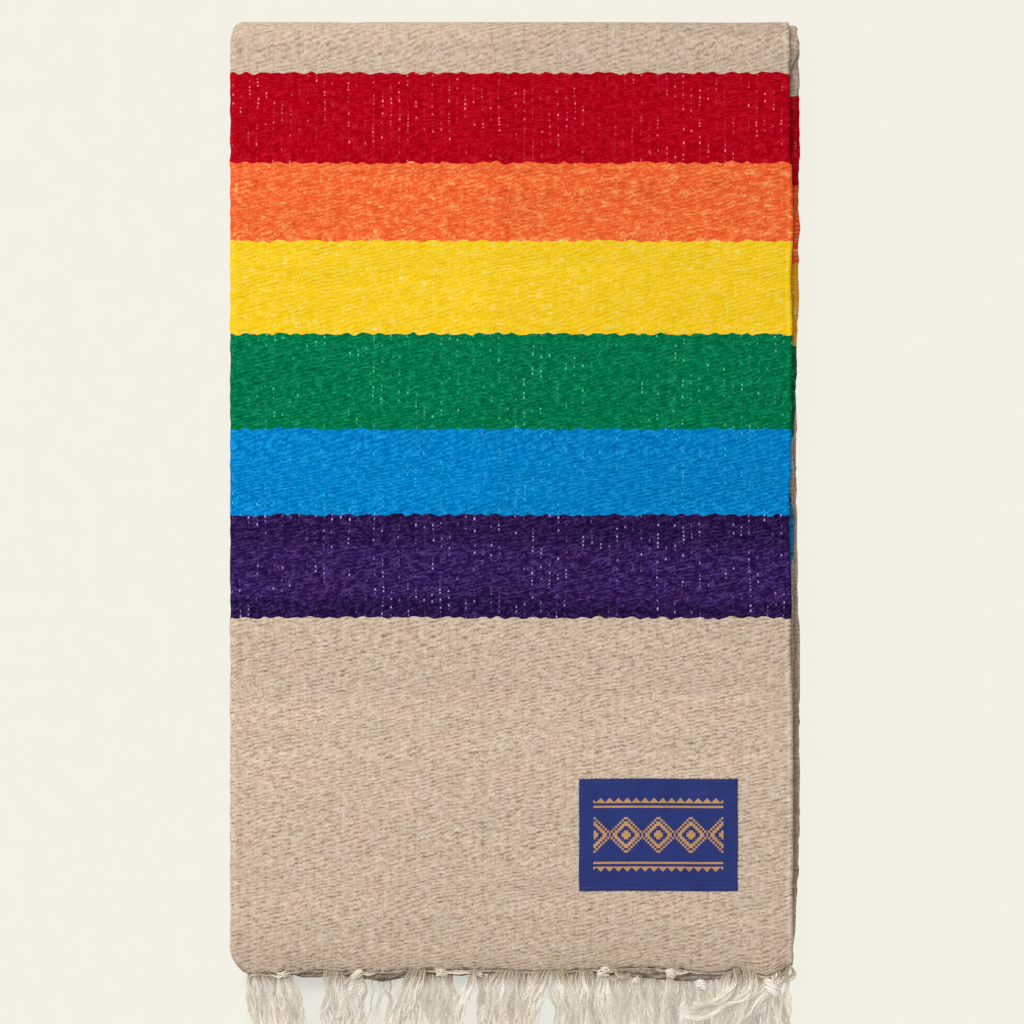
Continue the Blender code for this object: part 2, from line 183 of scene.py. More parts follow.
# The tassels and locks, in mm. LOOSE and BEHIND are how far out from the end those in front and behind are placed
LOOSE = (20, 35, 60, 94)
BEHIND = (12, 25, 45, 94)
BUNDLES = (
    # layer, yarns, lift, half widths, then places out from the end and across, or one place where it runs straight
    (1, 110, 0, (5, 8, 9.2, 10, 10.5), (-4.5, 8, *LOOSE), (-172.5, -172.5, -170.5, -168, -166, -165)),
    (0, 76, 0, (3.2, 5.4, 6.6, 7.6, 8.5), (2, 9, *LOOSE), (-154.6, -153.5, -151.5, -150.5, -150, -150)),
    (0, 8, 0.4, (1.5, 3, 4), (2, 9, 20, 35, 60), (-150, -147, -145, -146, -147)),
    (0, 92, 0, (6, 7.4, 8.2, 8.8, 9.5), (-5.5, 8, *LOOSE), (-120.3, -120, -119.5, -119, -118, -118)),
    (0, 26, 0.9, (2.4, 2.6, 2.2, 3), (2, 8, 16, 24, 36), (-104.1, -108, -112.5, -116, -118)),
    (0, 60, 0, (2.8, 4.8, 6.2, 7, 7.5), (2, 9, *LOOSE), (-104.1, -102.6, -104, -106, -106, -106)),
    (0, 80, 0.3, (5.5, 6.6, 7.4, 8, 9), (-5.5, 7, 18, 33, 60, 94), (-62, -65, -70.5, -76, -80, -82)),
    (0, 58, 0, (2.8, 4.6, 7.2, 9, 10), (1, 9, *LOOSE), (-47.1, -46.5, -44, -42, -41, -41)),
    (1, 46, 0, (4, 6, 7, 8), (-3.5, *BEHIND), (-57, -56.5, -55, -54, -53)),
    (0, 40, 0.4, (3.2, 3.6, 4.4, 5.4), (-5.5, 8, *LOOSE), (-24, -27.5, -33, -37, -40, -40)),
    (1, 60, 0, (2.6, 4.6, 6.2, 7.5, 8.5), (2, 9, *LOOSE), (-21, -18.5, -17, -16, -16, -16)),
    (0, 72, 0.3, (4.6, 6, 7.4, 8.4, 9), (-5.5, 8, *LOOSE), (-2, -6.5, -10, -12.5, -14, -14)),
    (0, 50, 0, (3.6, 5, 6.2, 7.2, 8), (-5.5, 9, *LOOSE), (5, 3.6, 2.4, 3, 3, 3)),
    (0, 84, 0.4, (4.6, 6, 7.6, 8.6, 9), (-5.5, 8, *LOOSE), (25, 19.5, 14.5, 12, 11, 11)),
    (0, 72, 0.2, (4.6, 5.6, 7, 8, 9), (-5.5, 8, *LOOSE), (29, 35, 40.5, 44, 45, 45)),
    (0, 72, 0, (4.6, 5.8, 7, 8, 9), (-5.5, 9, *LOOSE), (50, 51, 52, 53, 53, 53)),
    (0, 62, 0.3, (2.8, 5.4, 7.6, 9, 9.5), (1, 9, *LOOSE), (63.4, 63, 64, 65, 66, 66)),
    (0, 7, 0.5, (1.2, 1.5, 0.8), (1, 7, 4, 0), (64, 70, 74.5, 75)),
    (0, 7, 0.9, (1, 1.5, 0.8), (-1, 4, 3, -1), (66, 71, 77, 79)),
    (1, 60, 0, (5, 6.2, 7.4, 8.2), (-3.5, 10, *LOOSE), (76, 77, 78, 78, 78, 78)),
    (1, 40, 0.2, (2, 3.6, 5.2, 6.4), (6.6, 14, 24, 38, 94), (85.2, 86, 87, 88, 88)),
    (1, 38, 0, (3, 3.8, 5, 6.2), (-0.5, 12, 22, 38, 94), (95.3, 95.6, 95, 96, 96)),
    (0, 46, 0, (2.2, 2.5, 2.7, 3.2, 5), (2, 10, *LOOSE), (108.8, 108.5, 108.4, 108.6, 108.6, 108)),
    (1, 40, 0.2, (2.4, 3.8, 4.6, 6), (9.4, 15, 24, 40, 94), (129.8, 130.4, 131.2, 131, 131)),
    (
        0, 80, 1.6, (5.6, 5.2, 4.2, 3.8, 3.9, 3.6, 2.4), (-6.5, 6, 15, 22.5, 28, 30, 28),
        (156.5, 159.5, 155, 146, 134, 121, 113.5),
    ),
    (0, 14, 2, (3, 3.4, 2.6, 2), (-5.5, 6, 14, 21, 27), (154, 154, 148, 137, 125)),
    (0, 40, 0.6, (3.2, 3.2, 3.6, 4.4, 5), (-5.5, 8, 16, 25, 38, 94), (163, 163.6, 161, 157, 154, 152)),
    (0, 30, 0, (3, 4, 5, 6), (-4.5, 10, *LOOSE), (150, 147, 145.5, 144, 144, 144)),
    (0, 112, 0.3, (4, 6.4, 9, 10.6, 11), (11, 17, 25, 36, 56, 94), (176, 170.5, 162, 153, 147, 144)),
    (0, 62, 0, (2.8, 4, 5, 5.4), (12.5, *LOOSE), (178, 181, 183.8, 185, 185)),
    (0, 26, 0.5, (0.8, 2.3, 3.1, 2.4), (-5, 1.5, 6.2, 9.8), (189.6, 187.2, 182.8, 178)),
    (1, 34, 0, (2.4, 3.2, 3.6, 4), (-3.5, 12, 30, 60, 94), (185.5, 186.5, 187, 187, 186)),
    (0, 40, 0.2, (3, 4, 5, 5.6), (-5.5, 8, *LOOSE), (31, 31.6, 33, 34, 34, 34)),
    # The fillings behind them
    (1, 40, 0, (5, 6, 7, 8), (-4.5, *BEHIND), (-153, -151, -149, -149, -149)),
    (1, 60, 0, (6, 7.5, 8, 9), (-4.5, *BEHIND), (13, 11, 6, 4, 4)),
    (1, 60, 0, (6, 7.5, 8, 9), (-4.5, *BEHIND), (38, 39, 41, 43, 43)),
    (1, 50, 0, (6, 7.5, 8, 9), (-4.5, *BEHIND), (58, 58, 59, 60, 60)),
    (1, 40, 0, (5, 6, 7, 8), (-2.5, *BEHIND), (152, 155, 158, 158, 158)),
    (1, 36, 0, (5, 6, 7, 8), (-2.5, *BEHIND), 172),
    (2, 60, 0, (7, 8, 9, 9.5), (-4.5, *BEHIND), (-166, -165, -162, -160, -160)),
    (2, 50, 0, (6, 7, 7.5, 8), (-4.5, *BEHIND), (-114, -114, -115, -116, -116)),
    (2, 16, 0, (9, 10, 12, 12), (-0.5, 14, 25, 45, 94), (-86, -87, -90, -92, -92)),
    (2, 54, 0, (6, 8, 8, 9), (-4.5, *BEHIND), (-62, -66, -70, -73, -73)),
    (2, 50, 0, (6, 7, 8, 9), (-4.5, *BEHIND), (-45, -44, -43, -42, -42)),
    (2, 60, 0, (7, 8, 8, 9), (-4.5, *BEHIND), -8),
    (2, 60, 0, (7, 8, 8, 9), (-4.5, *BEHIND), (40, 42, 44, 46, 46)),
    (2, 60, 0, (8, 9, 9, 9.5), (-4.5, *BEHIND), (70, 70, 71, 72, 72)),
    (2, 56, 0, (8, 9, 9, 9.5), (-1.5, *BEHIND), 93),
    (2, 50, 0, (7, 8, 8, 9), (1.5, 14, 25, 45, 94), (117, 118, 118, 118, 118)),
    (2, 50, 0, (7, 8, 9, 9), (-2.5, *BEHIND), 140),
    (2, 50, 0, (7, 8, 9, 9), (-2.5, *BEHIND), (164, 164, 166, 168, 168)),
    (3, 44, 0, (8, 9, 9, 9), (-4.5, *BEHIND), (-160, -158, -157, -157, -157)),
    (3, 30, 0, (6, 7, 7, 8), (-4.5, *BEHIND), -118),
    (3, 16, 0, (6, 7, 8, 8), (-2.5, *BEHIND), (-88, -86, -86, -86, -86)),
    (3, 40, 0, (9, 9, 9, 9), (-4.5, *BEHIND), -52),
    (3, 44, 0, (9, 9, 9, 9), (-4.5, *BEHIND), (0, 0, -1, -2, -2)),
    (3, 44, 0, (9, 9, 9, 9), (-4.5, *BEHIND), (50, 50, 52, 53, 53)),
    (3, 44, 0, (10, 10, 10, 10), (-2.5, *BEHIND), 82),
    (3, 44, 0, (10, 10, 10, 10), (-0.5, *BEHIND), 106),
    (3, 44, 0, (10, 10, 10, 10), (-0.5, *BEHIND), 130),
    (3, 44, 0, (10, 10, 10, 10), (-2.5, *BEHIND), 154),
    (3, 40, 0, (7, 7, 7, 7), (-2.5, *BEHIND), 178),
)

# The stripes, from the fringed end to the blanket's middle. The other half mirrors them.
STRIPES = (
    # start in mm, weft, weft in shade, slubs, warp that shows, (ribs, grain, streaks), (slubs, warp, tints that show),
    # then the weft within the folds: painted shade and painted bounced light, darker and deeper than the weft
    (0.0, "#D2BBA4", "#9A8068", "#EFDCC9", "#F8ECDE", (1.00, 1.00, 0.10), (0.24, 0.55, 0.7), "#B3A08D"),
    (240.0, "#2C154B", "#16042E", "#573D7E", "#CDB0F2", (0.80, 1.15, 0.30), (0.40, 0.82, 1.8), "#2A1644"),
    (309.8, "#0081CA", "#0062A8", "#20A8EC", "#58D4FF", (1.05, 1.00, 0.10), (0.15, 0.62, 0.5), "#3F7F9F"),
    (368.1, "#007347", "#005230", "#18A06A", "#8CFFD6", (0.80, 1.00, 0.20), (0.30, 0.56, 0.7), "#00603A"),
    (432.5, "#FFD31B", "#DFAA0C", "#FFE88C", "#FFEFA8", (0.34, 0.42, 0.30), (0.72, 0.34, 0.5), "#E29A18"),
    (495.6, "#FD6834", "#D2441A", "#FFB86C", "#FFCC90", (0.55, 0.74, 0.48), (0.80, 0.55, 0.7), "#EA5222"),
    (548.5, "#B60015", "#8A000E", "#D01C34", "#FF8A98", (0.45, 0.90, 0.30), (0.15, 0.95, 0.4), "#B00012"),
    (609.5, "#D2BBA4", "#9A8068", "#EFDCC9", "#F8ECDE", (0.85, 0.80, 0.05), (0.18, 0.55, 0.7), "#B3A08D"),
)
# From the cloth's map to mm, how far apart its warps and its ribs are, and how far the label's ramp of rings reaches
MILLIMETRES = (1000.0, 1000.0, 0.0)
WARP_GAP = 5.66
RIB_GAP = 2.8
RINGS_WIDE = 24.0
# The setting that the second word of a node's kind is for
MODES = {
    "Math": "operation", "VectorMath": "operation", "MapRange": "interpolation_type", "Mix": "data_type",
    "TexNoise": "noise_dimensions", "TexWhiteNoise": "noise_dimensions",
}

# What the camera takes in across, and the middle of it
FRAME_WIDTH = 0.6943
FRAME_CENTRE = (0.001, -0.0102)


# ---- shapes ----


def kept(share):
    """A share kept between 0 and 1."""
    return np.clip(share, 0.0, 1.0)


def ease(share):
    """A smooth step from 0 to 1."""
    share = kept(share)
    return share * share * (3 - 2 * share)


def uneven(x, y, size, seed):
    """Gentle unevenness about -1 to 1: nine slanted waves added up, near a given size."""
    rng = np.random.default_rng(seed)
    total = np.zeros(np.broadcast(x, y).shape)
    for _ in range(9):
        heading = rng.uniform(0, 2 * math.pi)
        wave = size * rng.uniform(0.7, 1.9)
        across = x * math.cos(heading) + y * math.sin(heading)
        total = total + np.sin(2 * math.pi * across / wave + rng.uniform(0, 2 * math.pi))
    return total / 4.0


def evened(line, x, spread):
    """A listed line in mm, read at x and evened out a little to both sides."""
    places, values = np.array(line).T / 1000
    return sum(np.interp(x + step, places, values) for step in (-spread, 0.0, spread)) / 3


def together(*parts):
    """Coordinates, or corners of faces, spread to one shape and put together point by point."""
    return np.stack(np.broadcast_arrays(*parts), axis=-1)


def strung(*columns):
    """Rows of arrays strung together, column by column."""
    return (np.concatenate(column) for column in zip(*columns))


def grid_faces(rows, columns, first=0, around=False):
    """Quads between neighbouring points of a grid numbered row by row; around joins its last column to its first."""
    index = first + np.arange(rows * columns).reshape(rows, columns)
    if around:
        index = np.hstack([index, index[:, :1]])
    return together(index[:-1, :-1], index[:-1, 1:], index[1:, 1:], index[1:, :-1]).reshape(-1, 4)


def grid_rim(rows, columns, first=0):
    """The numbers of a grid's edge points, once round from its first corner."""
    index = first + np.arange(rows * columns).reshape(rows, columns)
    return np.concatenate([index[0, :-1], index[:-1, -1], index[-1, :0:-1], index[:0:-1, 0]])


def make_piece(name, points, face_groups, material, cloth_map, tones=None):
    """One mesh object from points and arrays of faces, turned outwards, with its map and its yarns' tones."""
    mesh = bpy.data.meshes.new(name)
    points = np.asarray(points, dtype=float).reshape(-1, 3)
    mesh.from_pydata(points.tolist(), [], [face for group in face_groups for face in np.asarray(group).tolist()])
    mesh.calc_loop_triangles()
    corners = np.empty(len(mesh.loop_triangles) * 3, dtype=np.int32)
    mesh.loop_triangles.foreach_get("vertices", corners)
    a, b, c = (points[corners[k::3]] for k in range(3))
    if np.einsum("ij,ij->i", a, np.cross(b, c)).sum() < 0:
        mesh.flip_normals()
    layer = mesh.uv_layers.new(name="cloth")
    ends = np.empty(len(mesh.loops), dtype=np.int32)
    mesh.loops.foreach_get("vertex_index", ends)
    layer.data.foreach_set("uv", np.asarray(cloth_map).reshape(-1, 2)[ends].astype(np.float32).ravel())
    if tones is not None:
        tone = mesh.attributes.new("tone", "FLOAT", "POINT")
        tone.data.foreach_set("value", np.asarray(tones, dtype=np.float32).ravel())
    mesh.shade_smooth()
    mesh.materials.append(material)
    mesh.validate()
    piece = bpy.data.objects.new(name, mesh)
    bpy.context.scene.collection.objects.link(piece)
    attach(piece, "root")
    return piece


def packet_path(spread):
    """Stations along the middle of the folded packet: y, z, turned angle, length of cloth so far and packet shares.

    The path runs along the top, round the long fold, back along the underside, round the low fold of
    eight layers, and along the middle. The length is measured spread further out than the path.
    """
    top = np.concatenate([LIP_STEPS - HALF_LENGTH, np.linspace(0.0028 - HALF_LENGTH, TURN_Y, 212)])
    long_turn = np.linspace(0, math.pi, 37)[1:]
    under = np.linspace(TURN_Y, FOLD_Y, 161)[1:]
    low_turn = np.linspace(0, math.pi, 17)[1:]
    middle = np.concatenate([np.linspace(FOLD_Y, MIDDLE_END - 0.0028, 25)[1:], MIDDLE_END - LIP_STEPS[3::-1]])
    turned_low = math.pi + low_turn
    at_turn = TURN_Y + (TURN_PATH + spread) * math.pi
    at_fold = at_turn + TURN_Y - FOLD_Y
    y, z, turned, length = strung(
        (top, TURN_RADIUS + TURN_PATH + 0 * top, 0 * top, top),
        (
            TURN_Y + (TURN_PATH + TURN_BULGE) * np.sin(long_turn),
            TURN_RADIUS + TURN_PATH * np.cos(long_turn),
            long_turn,
            TURN_Y + (TURN_PATH + spread) * long_turn,
        ),
        (under, SIDE_RADIUS + 0 * under, math.pi + 0 * under, at_turn + TURN_Y - under),
        (
            FOLD_Y + SIDE_RADIUS * np.sin(turned_low),
            PACKET + SIDE_RADIUS * np.cos(turned_low),
            turned_low,
            at_fold + (SIDE_RADIUS + spread) * (turned_low - math.pi),
        ),
        (
            middle,
            PACKET + SIDE_RADIUS + 0 * middle,
            2 * math.pi + 0 * middle,
            at_fold + (SIDE_RADIUS + spread) * math.pi + middle - FOLD_Y,
        ),
    )
    first = np.where(turned < math.pi, ease(1 - turned / math.pi), 0.0)
    last = np.where(turned > math.pi, ease(turned / math.pi - 1), 0.0)
    shares = {1: first, 3: 1 - first - last, 2: last}
    return {"y": y, "z": z, "turned": turned, "length": HALF_LENGTH + length, "shares": shares}


def reach(path, part):
    """How far one layer's edge stands out at the right, at each station of the path."""
    total = np.zeros(len(path["y"]))
    for packet, weight in path["shares"].items():
        places, reaches = np.array(REACHES[packet][part]).T / 1000
        total += weight * np.interp(path["y"], places, reaches)
    return total


def set_in(path, x, y):
    """How far the left side draws in: at the fringed end, at the long fold and for the lower packets."""
    near_end = np.maximum(0.0, END_PULL_RUN - HALF_LENGTH - y) / END_PULL_RUN
    pull = END_PULL * np.minimum(near_end, 1.15) ** 2.6
    first_turn = path["turned"] < math.pi
    pull = pull + (TURN_PULL * first_turn * (1 - np.abs(np.cos(path["turned"]))))[:, None]
    pull = pull + sum(weight * SIDE_SET_IN[packet] for packet, weight in path["shares"].items())[:, None]
    pull = pull + 0.00035 * uneven(y, 0.0, 0.012, 31)
    return pull * kept(1 - (HALF_WIDTH + x) / PULL_FADE)


def creased(x, along):
    """How far the creases lift the cloth: each a soft ridge or valley about a line, fading round its ends."""
    total = np.zeros(np.broadcast(x, along).shape)
    for (x0, v0), (x1, v1), rise, half_width in CREASES:
        run_x, run_v = (x1 - x0) / 1000, (v1 - v0) / 1000
        from_x, from_v = x - x0 / 1000, along - v0 / 1000
        share = kept((from_x * run_x + from_v * run_v) / (run_x**2 + run_v**2))
        away = np.hypot(from_x - share * run_x, from_v - share * run_v) / (half_width / 1000)
        total = total + rise / 1000 * np.exp(-(away**2)) * (0.75 + 0.25 * np.sin(9 * share + half_width))
    return total


def top_relief(x, y):
    """The top layer's rise and fall: the swell over uneven layers, its creases and soft dents."""
    across = kept((HALF_WIDTH - np.abs(x)) / 0.05)
    along = kept((TURN_Y - np.abs(y)) / 0.06)
    slanted = np.cos(math.pi * (y - 0.4 * x) / (2 * HALF_LENGTH))
    waves = slanted * np.sin(2.3 * math.pi * (x + y) / (2 * HALF_WIDTH))
    rise = SWELL_HEIGHT * across * along * (0.5 + 0.5 * waves)
    near = kept((HALF_WIDTH - np.abs(x)) / 0.02) * kept((TURN_Y - np.abs(y)) / 0.02)
    rise = rise + near * creased(x, y + HALF_LENGTH)
    return rise + near * (0.00012 * uneven(x, y, 0.030, 5) + 0.00010 * uneven(x, y, 0.012, 6))


def settle(y, z):
    """The pile sinks towards its fringed end, where it is a tenth lower."""
    return z * (1 - 0.10 * kept(1 - (y + HALF_LENGTH) / 0.036) ** 2.2)


def end_wave(x):
    """How far the top layer's end stands back: its own uneven line, drawn out at the knots."""
    return evened(END_LINE, x, 0.0024) + 0.0004 * uneven(x, 0.0, 0.009, 8)


def thickness(across, run):
    """Half a layer's thickness over its grid: less within 1.4 mm of an edge, which is round."""
    edges = (np.minimum(place, place[-1] - place) for place in (across, run))
    across_share, run_share = (np.sqrt(1 - 0.97 * (1 - kept(edge / 0.0014)) ** 2) for edge in edges)
    return CLOTH / 2 * across_share[None, :] * run_share[:, None]


def two_faces(path, x, outward, normal, half, rise, stand_back):
    """A layer's outer and inner face: its section's middle line, half the thickness either side, along the path.

    Outward is measured square to the path, away from the packet's middle. Stand_back draws its end line.
    """
    turned = path["turned"][:, None]
    grids = []
    for side in (1, -1):
        px = x + side * normal[0][None, :] * half
        out = outward[None, :] + side * normal[1][None, :] * half + rise
        py = path["y"][:, None] + out * np.sin(turned)
        pz = np.maximum(settle(py, path["z"][:, None] + out * np.cos(turned)), 0.0)
        py = py + stand_back(px)
        px = px + set_in(path, px, py)
        grids.append(together(px, py, pz))
    return grids


def dressed(piece, node):
    """A finished piece that stands for its CAD node, which it hides."""
    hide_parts(node)
    return piece


def outer_layer(material):
    """The layer that shows, a closed thin shell: its selvedge, its flat, the side fold and a short underlap.

    The section's middle line runs across the packet and round a half circle. Its two faces stand half
    the cloth's thickness either side, less at rounded edges. The hidden face is four times coarser.
    """
    path = packet_path(SIDE_RADIUS)
    radius = SIDE_RADIUS - CLOTH / 2
    selvedge = [0.0, 0.0002, 0.0005, 0.0010, 0.0015, 0.0020, 0.0026, 0.0033, 0.0040, 0.0047, 0.0053]
    flat = HALF_WIDTH - np.concatenate([selvedge, np.linspace(0.0060, HALF_WIDTH - SIDE_X, 128)])
    bend = np.linspace(0, math.pi, 17)[1:]
    lap = UNDERLAP * np.linspace(0, 1, 11)[1:]
    width = HALF_WIDTH - SIDE_X
    # Each part of the section: x, outward, the way that its outer face looks, and the cloth's width so far
    x, outward, normal_x, normal_out, across = strung(
        (flat, radius + 0 * flat, 0 * flat, 1 + 0 * flat, HALF_WIDTH - flat),
        (
            SIDE_X - radius * np.sin(bend),
            radius * np.cos(bend),
            -np.sin(bend),
            np.cos(bend),
            width + SIDE_RADIUS * bend,
        ),
        (SIDE_X + lap, 0 * lap - radius, 0 * lap, 0 * lap - 1, width + SIDE_RADIUS * math.pi + lap),
    )
    turned = path["turned"]
    run = path["length"] - path["length"][0]
    cord = 0.24 * np.exp(-(((across - 0.0018) / 0.0009) ** 2)) - 0.16 * np.exp(-(((across - 0.0041) / 0.0010) ** 2))
    half = thickness(across, run) * (1 + cord)[None, :]
    edge_share = ease((x - (HALF_WIDTH - 0.045)) / 0.045)[None, :]
    stand = reach(path, 0) + SELVEDGE_WAVE * path["shares"][1] * np.sin(2 * math.pi * path["y"] / SELVEDGE_WAVE_LENGTH)
    stand = stand + 0.0004 * uneven(run, 0.0, 0.021, 11)
    stand = stand + np.where(turned > 0.5, 0.0006, 0.0002) * uneven(run, 0.0, 0.0075, 12)
    stand = stand - RIGHT_TURN_PULL * np.where(turned < math.pi, 1 - np.abs(np.cos(turned)), 0.0)
    moved_x = x[None, :] + edge_share * stand[:, None]
    along = path["length"][:, None] + 0 * moved_x
    upper = normal_out > 0.99
    inner_share = kept((HALF_WIDTH - np.abs(x)) / 0.02) * upper
    on_top = (turned < 0.001)[:, None] & upper[None, :]
    rise = np.where(on_top, top_relief(moved_x, along - HALF_LENGTH), inner_share[None, :] * creased(moved_x, along))
    lumps = 0.0008 * uneven(run, 0.0, 0.016, 13) + 0.0005 * uneven(run, 0.0, 0.007, 14) - 0.0008
    rise = rise + np.where(turned > 0.5, np.minimum(lumps, 0.0), 0.0)[:, None] * edge_share
    rise = np.where(np.abs(turned - math.pi)[:, None] < 0.01, np.minimum(rise, 0.0), rise)
    start = ease(1 - run / 0.022)[:, None]
    normal = (normal_x, normal_out)
    outer, inner = two_faces(path, moved_x, outward, normal, half, rise, lambda px: start * end_wave(px))

    inner = inner[::4, ::4]
    rows, columns = outer.shape[:2]
    few_rows, few_columns = inner.shape[:2]
    first = rows * columns
    hidden = grid_faces(few_rows, few_columns, first)[:, ::-1]
    rim, few_rim = grid_rim(rows, columns), grid_rim(few_rows, few_columns, first)
    steps = np.arange(len(few_rim))
    walls = [rim[(4 * steps + k) % len(rim)] for k in range(4, -1, -1)] + [few_rim, np.roll(few_rim, -1)]
    uv = together(-across[None, :], path["length"][:, None])
    points = np.concatenate([outer.reshape(-1, 3), inner.reshape(-1, 3)])
    uv = np.concatenate([uv.reshape(-1, 2), uv[::4, ::4].reshape(-1, 2)])
    faces = (grid_faces(rows, columns), hidden, together(*walls))
    return dressed(make_piece("outer_layer", points, faces, material, uv), "front_panel")


def inner_layers(material):
    """The three layers inside each packet, one thin ribbon folded twice, as a closed shell along the same path.

    The ribbon's middle line runs from the underlap to the fold at the right, back to the fold at the
    left, and out to the second selvedge. Each edge stands out at the right by its own reach.
    """
    path = packet_path(0.0)
    radius = LAYER / 2
    left = SIDE_X
    right = HALF_WIDTH - radius - CLOTH / 2
    bend = np.linspace(0, math.pi, 9)
    low_start = left + UNDERLAP + 0.0006
    spread = np.concatenate([[0.0, 0.02, 0.06, 0.11], np.linspace(0.155, 0.85, 20), [0.89, 0.935, 0.975]])
    low = low_start + (right - low_start) * spread[:-1]
    low = np.concatenate([low_start + LIP_STEPS[:-1], low[1:], [right]])
    middle = right + (left - right) * np.concatenate([[0.025], spread[1:-1]])
    top = left + (HALF_WIDTH - 0.0017 - left) * np.concatenate([spread[1:], [0.99]])
    top = np.concatenate([top, HALF_WIDTH - LIP_STEPS[::-1]])
    x, out = strung(
        (low, 0 * low - 3 * radius),
        (right + radius * np.sin(bend[1:]), -2 * radius - radius * np.cos(bend[1:])),
        (middle, 0 * middle - radius),
        (left - radius * np.sin(bend), -radius * np.cos(bend)),
        (top, 0 * top + radius),
    )
    step_x, step_out = np.gradient(x), np.gradient(out)
    size = np.hypot(step_x, step_out)
    across = np.concatenate([[0.0], np.cumsum(np.hypot(np.diff(x), np.diff(out)))])
    run = path["length"] - path["length"][0]

    edge_share = ease((x - (HALF_WIDTH - 0.060)) / 0.055)[None, :]
    pair = reach(path, 2) + 0.0005 * uneven(run, 0.0, 0.026, 21) + 0.0004 * uneven(run, 0.0, 0.0075, 25)
    single = reach(path, 1) + 0.0005 * uneven(run, 0.0, 0.019, 22) + 0.0005 * uneven(run, 0.0, 0.0070, 26)
    moved_x = x[None, :] + edge_share * np.where((out > 0.5 * radius)[None, :], single[:, None], pair[:, None])
    start = ease(1 - run / 0.030)[:, None]
    ends = evened(LOWER_END, x, 0.008) * np.interp(out / radius, (-1, 1), (1.0, 0.4))
    ends = ends + 0.0011 * uneven(x, 40 * out, 0.022, 23) + 0.0003 * uneven(x, out, 0.007, 24)
    lumps = edge_share * (0.0004 * uneven(run, 0.0, 0.015, 27) + 0.0003 * uneven(run, 0.0, 0.007, 28))[:, None]
    normal = (step_out / size, -step_x / size)
    half = thickness(across, run)
    grids = two_faces(path, moved_x, out, normal, half, lumps, lambda px: -start * ends[None, :])

    points = np.concatenate([grids[0], grids[1][:, ::-1]], axis=1)
    rows, columns = points.shape[:2]
    near = np.arange(columns // 2 - 1)
    cap = together(near, near + 1, columns - 2 - near, columns - 1 - near)
    faces = (grid_faces(rows, columns, around=True), cap[:, ::-1], cap + (rows - 1) * columns)
    # The stripes of layers that were folded loosely lie a little further along
    shift = np.interp(across, (0.0, 0.36, 0.73, across[-1]), (0.0, -0.0156, -0.008, -0.0156))
    settled = np.interp(run, (0.0, 0.05, 0.38, 0.44, 0.50, 0.55, 0.61), (0.0, 0.4, 0.35, 0.6, 1.15, 0.83, 1.0))
    v = path["length"][:, None] - shift[None, :] * settled[:, None]
    uv = together(-(OUTER_WIDTH + across)[None, :], v)
    uv = np.concatenate([uv, uv[:, ::-1]], axis=1)
    return dressed(make_piece("inner_layers", points, faces, material, uv), "folded_layers")


def make_label(material):
    """The label, a thin closed shell on the top layer: puckered at its stitches, rounded at its turned edge."""
    u = np.concatenate([[0, 0.003, 0.008], np.linspace(0.016, 0.984, 84), [0.992, 0.997, 1]])
    v = np.concatenate([[0, 0.004, 0.011], np.linspace(0.022, 0.978, 60), [0.989, 0.996, 1]])
    u, v = np.meshgrid(u, v)
    x = LABEL_RIGHT - LABEL_WIDTH * (1 - u)
    y = LABEL_BOTTOM + LABEL_HEIGHT * v
    z = STACK + top_relief(x, y)
    edge = np.minimum(np.minimum(u, 1 - u) * LABEL_WIDTH, np.minimum(v, 1 - v) * LABEL_HEIGHT)
    rounded = np.sqrt(1 - (1 - kept(edge / 0.0009)) ** 2)
    seam = np.exp(-(((edge - SEAM) / 0.0007) ** 2))
    band = ease((0.0046 - edge) / 0.0008)
    puff = 0.00045 * ease(edge / 0.010) * (0.7 + 0.3 * uneven(x, y, 0.030, 31))
    pucker = 0.00010 * uneven(x, y, 0.006, 32) * np.exp(-edge / 0.006)
    thick = 0.00035 + 0.00022 * band * rounded - 0.00016 * seam + puff + pucker
    x = x + 0.0004 * uneven(y, 0.0, 0.045, 33) * np.where(u < 0.5, 1 - 2 * u, 2 * u - 1)
    y = y + 0.0003 * uneven(x, 0.0, 0.050, 34) * np.where(v < 0.5, 1 - 2 * v, 2 * v - 1)
    outer = together(x, y, z + 0.0001 + 0.0002 * rounded + thick)
    inner = together(x, y, z + 0.0001)
    rows, columns = u.shape
    first = rows * columns
    rim = grid_rim(rows, columns)
    walls = together(np.roll(rim, -1), rim, rim + first, np.roll(rim, -1) + first)
    faces = (grid_faces(rows, columns), grid_faces(rows, columns, first)[:, ::-1], walls)
    uv = together((u - 0.5) * LABEL_WIDTH, (v - 0.5) * LABEL_HEIGHT)
    points = np.concatenate([outer.reshape(-1, 3), inner.reshape(-1, 3)])
    return dressed(make_piece("label_patch", points, faces, material, np.concatenate([uv, uv])), "label")


